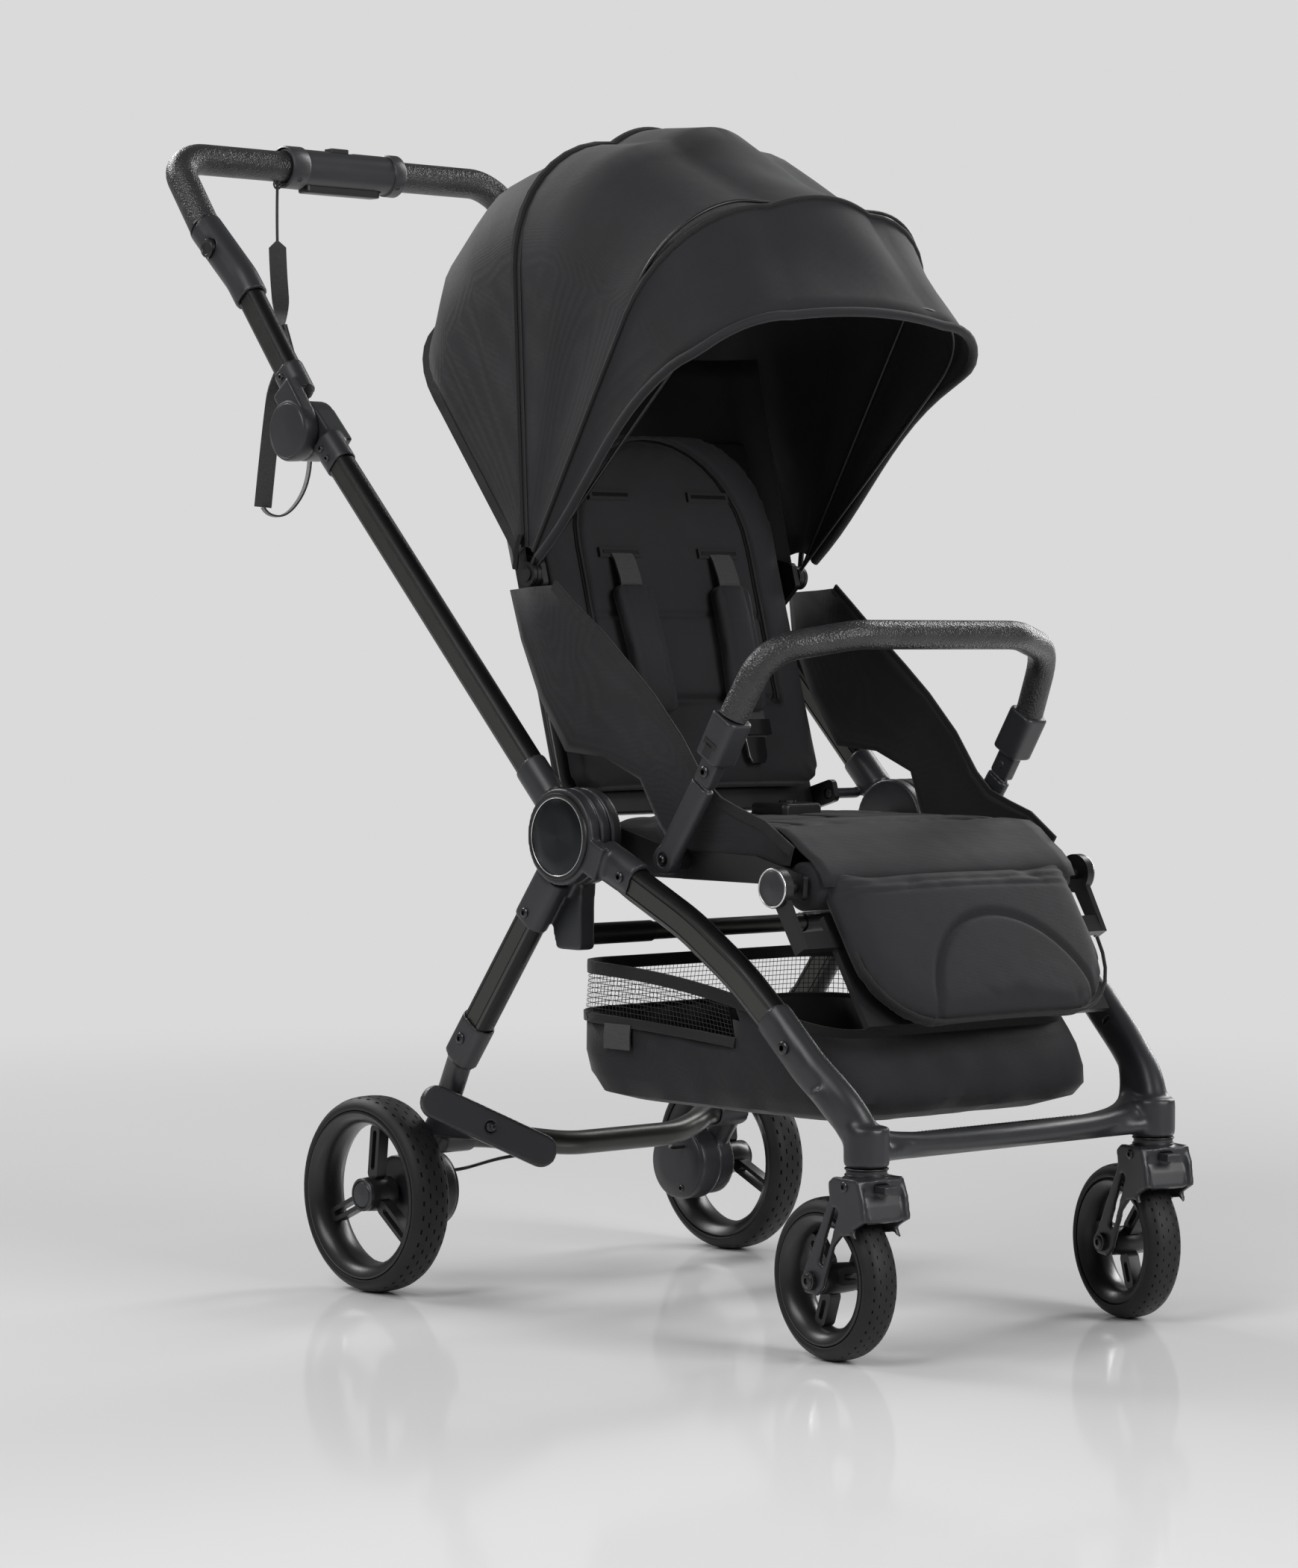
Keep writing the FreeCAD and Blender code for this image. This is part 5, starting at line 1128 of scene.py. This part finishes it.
for side in (-1, 1):
    for s in (197.7, 251.7):
        # Each slot is a raised frame of binding with a thin gloss black patch over its middle: painted shade standing
        # in for the open slot.
        for x_low, x_high, s_low, s_high, level in ((-25, 25, -4.5, 4.5, 0.2), (-21, 21, -1.6, 1.6, -0.5)):
            corner = [(x_low, s_low), (x_high, s_low), (x_high, s_high), (x_low, s_high)]
            shape = slots if level > 0 else slot_shade
            verts = [shape.verts.new(on_back(side * 60 + u, s + v, level - 4.4)) for u, v in corner]
            made = bmesh.ops.extrude_face_region(shape, geom=[shape.faces.new(verts)])["geom"]
            moved = [v for v in made if isinstance(v, bmesh.types.BMVert)]
            bmesh.ops.translate(shape, verts=moved, vec=on_back(0, 0, 4.5) - on_back(0, 0, 0))
new_piece("harness_slots", slots, binding, "backrest")
new_piece("harness_slot_painted_shade", slot_shade, gloss_black, "backrest")

# ---------------------------------------------------------------------------
# Harness: two padded shoulder covers on flat webbing with ladder adjusters,
# and their tongues; the webbing comes out of the back cushion's slots.
# ---------------------------------------------------------------------------
STRAP_X = 60


def strap_pad(u, v, h, side):
    lean = 9 * math.sin(math.pi * (v - 30) / 145)
    return on_back(side * (STRAP_X - 0.05 * (170 - v)) + u, v, -8 - h - lean * 0.35)


webs, adjusters, tongues = bmesh.new(), bmesh.new(), bmesh.new()
for word, side in (("right", -1), ("left", 1)):
    stuffed(f"shoulder_pad_{word}", rounded_outline(23, 42, 168, 9, 12), 10.5,
            lambda u, v, h, side=side: strap_pad(u, v, h, side), "backrest", None,
            [([(-14, 50), (-14, 162)], 1.4, 2), ([(14, 50), (14, 162)], 1.4, 2)],
            swell=0.0035, inset=2.5, voxel=0.004, crown=1.5)
    run = [on_back(side * 60, s, d) for s, d in ((198, -3), (190, -7), (172, -10), (120, -10.5), (60, -9), (40, -9), (22, -7))]
    sweep(webs, flat_section(0.025, 0.0018), stations(rounded_route(run, 0.03), X_AXIS))
    for low, high in ((24, 38),):
        place = [on_back(side * 60, s, -9.4) for s in (low, high)]
        sweep(adjusters, soft_box(34, 5.5, 2), stations(place, X_AXIS))
    place = [on_back(side * 57, s, -6.8) for s in (-2, 4, 22)]
    sweep(tongues, soft_box(24, 4.4, 1.8), stations(place, X_AXIS, [(0.7, 0.8), (1, 1), (1.08, 1)]))
web = new_piece("shoulder_webbing", webs, webbing, "backrest")
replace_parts(web, "shoulder_straps")
new_piece("harness_adjusters", adjusters, gloss_black, "backrest")
new_piece("harness_tongues", tongues, gloss_black, "backrest")

# ---------------------------------------------------------------------------
# Crotch strap: a small padded cover over webbing, and the moulded buckle with
# its round release button. The buckle stands on the seat cushion.
# ---------------------------------------------------------------------------
stuffed("crotch_pad", rounded_outline(19.5, -30, 30, 8, 8), 6.6, lambda u, v, h: at(u, -365 + v, 436.4 + h),
        "chassis", "crotch_strap", [([(-13, -26), (-13, 26)], 1, 1.6), ([(13, -26), (13, 26)], 1, 1.6)],
        swell=0.002, inset=1.5, voxel=0.003)
bm = bmesh.new()
shell = [at(0, y, 441.4) for y in (-332, -329, -309, -289, -286)]
sweep(bm, soft_box(49, 14.4, 4.5), stations(shell, X_AXIS, [(0.8, 0.8), (0.96, 0.97), (1, 1), (0.96, 0.97), (0.8, 0.8)]))
cutter = bmesh.new()
bmesh.ops.create_cone(cutter, cap_ends=True, segments=40, radius1=0.0086, radius2=0.0086, depth=0.016,
                      matrix=Matrix.Translation(at(0, -310, 450)))
bm = remeshed(carved(bm, cutter), 0.0009, 2)
buckle = new_piece("buckle_shell", bm, black_nylon, "chassis", crease=180)
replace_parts(buckle, "buckle")

# ---------------------------------------------------------------------------
# Leg rest apron: a filled fabric apron over the footrest board, with rows of
# stitching below its roll, an arched panel seam and piping near its hem.
# ---------------------------------------------------------------------------
APRON_SLOPE = math.radians(90 - 31.6)


def on_apron(x, s, out):
    """A place on the apron: across, down its slope, and out from the board."""
    return at(x, -490 - 0.524 * s - 0.852 * out, 387 - 0.852 * s + 0.524 * out)


knee_arch = [(u + 14, 296 - v) for u, v in arc_line(148, 98, 0, 180, 24)]
apron_seams = [([(-154, s), (154, s)], 1.3, 1.7) for s in (7, 15, 23)]
apron_seams += [(knee_arch, 4.5, 3.0)]
stuffed("leg_rest_apron", rounded_outline(153, -3, 150, 6, 74), 15,
        lambda u, v, h: on_apron(u, v, 13.6 + h + 2.5 * math.cos(u / 154 * math.pi / 2)), "footrest", "leg_apron",
        apron_seams, swell=0.006, crown=5)
bm = bmesh.new()
roll = [at(x, -490, 387) for x in (-153, -151, -60, 60, 151, 153)]
round_roll = [(0.0205 * math.cos(math.tau * i / 36), 0.0205 * math.sin(math.tau * i / 36)) for i in range(36)]
sweep(bm, round_roll, stations(roll, Vector((0, 0, 1)), [(0.86, 0.86), (1, 1), (1.02, 1.02), (1.02, 1.02), (1, 1), (0.86, 0.86)]))
apron_roll = new_piece("leg_rest_roll", bm, charcoal, "footrest", crease=60)
bm = bmesh.new()
hem = [p for p in rounded_outline(147, 0, 144, 6, 70) if p[1] > 60]
hem = [on_apron(u, v, 21 + 5 * math.cos(u / 154 * math.pi / 2)) for u, v in hem]
sweep(bm, pipe_section, stations(hem, Vector((0, 0.85, -0.5))))
new_piece("apron_piping", bm, binding, "footrest")

# ---------------------------------------------------------------------------
# Side wings: a single layer of fabric from each side of the seat up to the
# canopy, bound along its free edge, with soft folds down from the canopy.
# ---------------------------------------------------------------------------
def sheet_grid(bm, rows):
    """A surface through rows of points; every row has the same number."""
    grid = [[bm.verts.new(p) for p in row] for row in rows]
    for before, after in zip(grid, grid[1:]):
        for i in range(len(before) - 1):
            bm.faces.new((before[i], before[i + 1], after[i + 1], after[i]))
    return grid


def cloth_sheet(name, bm, body, thickness=0.0016, crease=70):
    """A single layer of fabric with its dark lining on the inside."""
    area = sum(face.calc_area() for face in bm.faces)
    obj = new_piece(name, bm, charcoal, body, crease=crease)
    obj.data.materials.append(lining)
    shell = obj.modifiers.new("thickness", "SOLIDIFY")
    shell.thickness = thickness
    shell.offset = -1
    shell.material_offset = 1
    shell.material_offset_rim = 0
    return obj, area


def edge_tape(name, lines, body, width=0.009, thick=0.0026, across=X_AXIS):
    """Binding folded over a free edge."""
    bm = bmesh.new()
    for line in lines:
        sweep(bm, flat_section(thick, width), stations(line, across))
    return new_piece(name, bm, binding, body)


FREE_EDGE = [(-484, 416), (-452, 437), (-424, 446), (-400, 455), (-379, 472), (-352, 507), (-318, 541), (-288, 566),
             (-250, 596), (-212, 624), (-192, 640)]
SEWN_EDGE = [(-480, 404), (-440, 402), (-395, 402), (-345, 404), (-320, 432), (-300, 472), (-254, 490), (-203, 494),
             (-168, 540), (-142, 592), (-132, 636)]
wing_edges = []
for word, side in (("right", -1), ("left", 1)):
    bm = bmesh.new()
    rows = []
    edge = []
    for (y0, z0), (y1, z1) in zip(FREE_EDGE, SEWN_EDGE):
        row = []
        for i in range(13):
            t = i / 12
            y, z = y0 + (y1 - y0) * t, z0 + (z1 - z0) * t
            rise = min(max((z - 420) / 60, 0), 1)
            x = 159 + 8 * rise + 4.4 * min(max((z - 596) / 30, 0), 1)
            x += (3 * math.sin(math.pi * t) + 1.6 * math.sin(6.5 * t + z / 36) * math.sin(math.pi * t)) * rise
            row.append(at(side * x, y, z))
        rows.append(row)
        edge.append(row[0])
    sheet_grid(bm, rows)
    obj, area = cloth_sheet(f"side_wing_{word}", bm, "chassis")
    wing_edges.append(edge)
    if side > 0:
        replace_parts(obj, "side_wings")
edge_tape("side_wing_binding", wing_edges, "chassis")

# ---------------------------------------------------------------------------
# Seat front: fabric from the seat cushion's front edge down over the leg
# rest's roll. It is sewn to both.
# ---------------------------------------------------------------------------
FALL = [(-425, 434.6), (-445, 435.4), (-461, 434), (-474, 427), (-487, 417), (-500, 409.5), (-511, 399), (-516, 388)]
bm = bmesh.new()
fall_rows = []
for y, z in FALL:
    ripple = [0.9 * math.sin(k * 1.9) * math.sin(k * 0.7 + y / 9) for k in range(25)]
    fall_rows.append([at(-152 + 304 * k / 24, y, z + ripple[k]) for k in range(25)])
sheet_grid(bm, fall_rows)
seat_front, fall_area = cloth_sheet("seat_front", bm, None, 0.0014)
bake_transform(seat_front)

# ---------------------------------------------------------------------------
# Canopy: one sewn fabric sheet stretched over four bows, tight across each
# bow and slightly sagged between them, with a visor at the front.
# ---------------------------------------------------------------------------
CANOPY_PIVOT = (-150, 650)
LEG_STEPS, CORNER_STEPS, TOP_STEPS = 12, 10, 9


def hoop(degrees, reach, half_width, corner, crown, tuck=0, start=24):
    """One bow from foot to foot; tuck draws its lower sides back by some degrees."""
    half = []
    shoulder = reach - crown - corner
    for i in range(LEG_STEPS):
        r = start + (shoulder - start) * i / LEG_STEPS
        half.append((half_width - 3 * (1 - i / LEG_STEPS), r))
    for i in range(CORNER_STEPS):
        turn = math.pi / 2 * i / CORNER_STEPS
        half.append((half_width - corner + corner * math.cos(turn), shoulder + corner * math.sin(turn)))
    for i in range(TOP_STEPS):
        x = (half_width - corner) * (1 - i / TOP_STEPS)
        half.append((x, reach - crown * (x / (half_width - corner)) ** 2))
    half.append((0, reach))
    points = [(-x, r) for x, r in half] + [(x, r) for x, r in reversed(half[:-1])]
    line = []
    for x, r in points:
        share = min(max((r - 50) / 240, 0), 1)
        line.append(at(x, *along(CANOPY_PIVOT, degrees - tuck * math.sin(math.pi * share), r)))
    return line


bows = [
    hoop(52, 318, 166, 104, 10), hoop(63, 362, 169, 110, 13), hoop(75, 393, 171, 116, 15), hoop(88, 406, 172, 120, 17),
    hoop(99, 407, 172, 120, 17), hoop(122, 387, 172, 112, 13), hoop(140, 350, 171, 80, 10, tuck=5),
]
spans = [3, 3, 3, 3, 7, 6]
SAG = {4: 6.0, 5: 4.0}
rows = []
for index, (first, second) in enumerate(zip(bows, bows[1:])):
    count = spans[index]
    for i in range(count):
        t = i / count
        row = []
        for number, (a, b) in enumerate(zip(first, second)):
            place = a.lerp(b, t)
            share = number / (len(first) - 1)
            dip = SAG.get(index, 0) * math.sin(math.pi * t) * math.sin(math.pi * share) ** 0.6
            wrinkle = 1.0 * math.sin(math.pi * t) * math.sin(29 * share + 3 * t + index)
            wrinkle += 2.2 * math.sin(math.pi * t) * math.sin(15 * share - 4.2 * t + 2 * index) * (index > 3)
            wrinkle *= math.sin(math.pi * share)
            centre = at(0, -235, 800)
            inward = (centre - place).normalized()
            row.append(place + inward * (dip + wrinkle) / 1000)
        rows.append(row)
rows.append(bows[-1])
bm = bmesh.new()
sheet_grid(bm, rows)
canopy, canopy_area = cloth_sheet("canopy_sheet", bm, None, 0.0018, crease=32)


def canopy_blend(obj):
    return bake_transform(obj)


canopy_blend(canopy)
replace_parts(canopy, "canopy_rear_panel", "canopy_mid_panel", "canopy_visor")


def lifted(line, millimetres):
    """A line moved off the canopy, away from its middle."""
    centre = at(0, -235, 800)
    return [p + (p - centre).normalized() * millimetres / 1000 for p in line]


def trim(name, line, section, material, slot="charcoal_fabric"):
    bm = bmesh.new()
    sweep(bm, section, stations(line, X_AXIS if abs(line[0].x - line[1].x) < 1e-4 else Vector((0, 1, 0))))
    return canopy_blend(new_piece(name, bm, material, None))


def round_wire(radius, steps=10):
    return [(radius * math.cos(math.tau * i / steps), radius * math.sin(math.tau * i / steps)) for i in range(steps)]


def hoop_sides(line):
    """One fixed direction across the sheet, forward and down, for every point of a bow."""
    return [Vector((0, -0.9, -0.4)) for _ in line]


def bow_trim(name, line, section, material):
    bm = bmesh.new()
    sweep(bm, section, stations(line, hoop_sides(line)))
    return canopy_blend(new_piece(name, bm, material, None))


bow_trim("canopy_brim_roll", lifted(bows[6], 0.6), round_wire(0.0042), charcoal)
bow_trim("canopy_ridge_piping", lifted(bows[5], 0.8), round_wire(0.0022), binding)
bow_trim("canopy_rear_hem", lifted(bows[0], 0.2), flat_section(0.010, 0.0026), binding)
zip_line = lifted(bows[3], 0.2)
bow_trim("canopy_zip_tape", zip_line, flat_section(0.013, 0.0012), binding)
bow_trim("canopy_zip_teeth", lifted(zip_line, 0.7), flat_section(0.0042, 0.0016), gloss_black)
side_lines = []
for end in (0, -1):
    side_lines.append([row[end] for row in rows])
bm = bmesh.new()
for side in (-1, 1):
    pull = at(side * 173, *along(CANOPY_PIVOT, 88, 34))
    line = [pull, pull + Vector((side * 0.001, 0.004, -0.012)), pull + Vector((side * 0.0012, 0.006, -0.030))]
    sweep(bm, flat_section(0.0055, 0.0018), stations(line, Vector((0, 1, 0.3))))
new_piece("zip_pulls", bm, gloss_black, "canopy_base")

# ---------------------------------------------------------------------------
# Rear drape: a light fabric curtain that hangs inside the canopy's rear hem
# and closes the gap down to the backrest.
# ---------------------------------------------------------------------------
bm = bmesh.new()
drape_rows = []
for i in range(12):
    t = i / 11
    z = 856 - 200 * t
    y_back = -50 - 44 * t ** 1.4
    y_side = -96 - 50 * t
    row = []
    for k in range(25):
        u = -1 + k / 12
        bulge = max(0.0, abs(u) - 0.82) / 0.18
        ripple = 1.6 * math.sin(13 * u + 2 * t) * (1 - t * 0.4)
        row.append(at(u * 163, y_back + (y_side - y_back) * bulge ** 1.5 + ripple + 9 * (1 - u * u), z))
    drape_rows.append(row)
sheet_grid(bm, drape_rows)
drape, drape_area = cloth_sheet("rear_drape", bm, "backrest", 0.0012)

# ---------------------------------------------------------------------------
# Basket: an open fabric sling under the seat, sewn from one panel that sags
# between its hung rims, with a mesh band along each upper side.
# ---------------------------------------------------------------------------
def basket_ring(y_back, y_front, z_back, z_front, half_width, corner, sag=0.0, steps=8):
    """One level of the basket: a rounded rectangle whose back and front may differ in height."""
    points = []
    middle = (y_back + y_front) / 2
    half = (y_back - y_front) / 2
    corner = min(corner, half - 1, half_width - 1)
    for sign_x, sign_y, start in ((1, 1, 0), (-1, 1, 90), (-1, -1, 180), (1, -1, 270)):
        for i in range(steps + 1):
            turn = math.radians(start + 90 * i / steps)
            x = sign_x * (half_width - corner) + corner * math.cos(turn)
            y = sign_y * (half - corner) + corner * math.sin(turn)
            points.append((x, y))
    dense = []
    for (x0, y0), (x1, y1) in zip(points, points[1:] + points[:1]):
        cuts = max(1, int(math.hypot(x1 - x0, y1 - y0) / 14))
        for i in range(cuts):
            dense.append((x0 + (x1 - x0) * i / cuts, y0 + (y1 - y0) * i / cuts))
    result = []
    for x, y in dense:
        t = (half - y) / (2 * half)
        z = z_back + (z_front - z_back) * t ** 2.2
        z -= sag * math.sin(math.pi * min(max(t, 0), 1))
        result.append((x, middle + y, z))
    return result


def resampled(points, count):
    """The same closed ring with a fixed number of even points, starting at its right middle."""
    lengths = [0.0]
    for a, b in zip(points, points[1:] + points[:1]):
        lengths.append(lengths[-1] + math.dist(a, b))
    result = []
    for i in range(count):
        target = lengths[-1] * i / count
        k = max(j for j in range(len(lengths) - 1) if lengths[j] <= target + 1e-9)
        t = (target - lengths[k]) / max(lengths[k + 1] - lengths[k], 1e-9)
        a, b = points[k], points[(k + 1) % len(points)]
        result.append(tuple(a[n] + (b[n] - a[n]) * t for n in range(3)))
    return result


BASKET_COUNT = 132
levels = [
    basket_ring(-196, -519, 305, 262, 158, 46), basket_ring(-194, -530, 286, 250, 159, 46, 1),
    basket_ring(-192, -540, 262, 240, 160, 48, 2), basket_ring(-192, -548, 232, 222, 160, 50, 2),
    basket_ring(-196, -551, 212, 208, 159, 52, 1), basket_ring(-206, -545, 196, 198, 152, 50, 1),
    basket_ring(-226, -522, 189, 190, 128, 44), basket_ring(-262, -470, 187.4, 187.6, 84, 30),
    basket_ring(-310, -420, 187, 187, 34, 16),
]
bm = bmesh.new()
loops = []
for depth, ring in enumerate(levels):
    verts = []
    for i, (x, y, z) in enumerate(resampled(ring, BASKET_COUNT)):
        turn = math.tau * i / BASKET_COUNT
        fold = 1.5 * math.sin(7 * turn + depth * 1.1) + 0.9 * math.sin(17 * turn - depth * 1.7)
        strength = min(depth, 4) / 4 * (1 if depth < 7 else 0.3)
        away = Vector((x, y + 365, 0)).normalized()
        verts.append(bm.verts.new(at(x - away.x * abs(fold) * strength * 1.4, y - away.y * abs(fold) * strength * 1.4, z)))
    loops.append([bm.edges.new((verts[i - 1], verts[i])) for i in range(BASKET_COUNT)])
for first, second in zip(loops, loops[1:]):
    bmesh.ops.bridge_loops(bm, edges=first + second)
bmesh.ops.edgeloop_fill(bm, edges=loops[-1])
NET_FRONT = -414
window = []
for face in bm.faces:
    middle = face.calc_center_median()
    if middle.y > at(0, NET_FRONT, 0).y and middle.z > 0.256:
        window.append(face)
bmesh.ops.delete(bm, geom=window, context="FACES")
basket, basket_area = cloth_sheet("basket_sling", bm, "chassis", 0.0018, crease=50)
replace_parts(basket, "basket")
rim_line = [at(*p) for p in resampled(levels[0], BASKET_COUNT)]
bm = bmesh.new()
rim_frames = stations(rim_line + rim_line[:1], Vector((0, 0, 1)))
sweep(bm, flat_section(0.011, 0.0034), rim_frames)
new_piece("basket_rim_binding", bm, binding, "chassis")

NET_COUNT, NET_ROWS = 264, 10
upper, lower = (resampled(levels[k], NET_COUNT) for k in (0, 2))
half_way = NET_COUNT // 2
stretch = [
    (a, b) for a, b in zip(upper[half_way:] + upper[:half_way], lower[half_way:] + lower[:half_way])
    if b[1] > NET_FRONT - 5
]
bm = bmesh.new()
sheet_grid(bm, [[at(*a).lerp(at(*b), k / NET_ROWS) for a, b in stretch] for k in range(NET_ROWS + 1)])
bmesh.ops.wireframe(bm, faces=bm.faces[:], thickness=0.0006, use_replace=True, use_boundary=True, use_even_offset=True)
new_piece("basket_net", bm, binding, "chassis")
bm = bmesh.new()
sweep(bm, flat_section(0.0028, 0.008), stations([at(*b) for a, b in stretch], Vector((0.3, 0.9, 0))))
new_piece("basket_band_binding", bm, binding, "chassis")
bm = bmesh.new()
tab = [at(-162.0, -268, 258), at(-163.0, -268, 248), at(-162.8, -268, 236)]
sweep(bm, flat_section(0.034, 0.0014), stations(tab, Vector((0, 1, 0))))
new_piece("basket_tab", bm, webbing, "chassis")
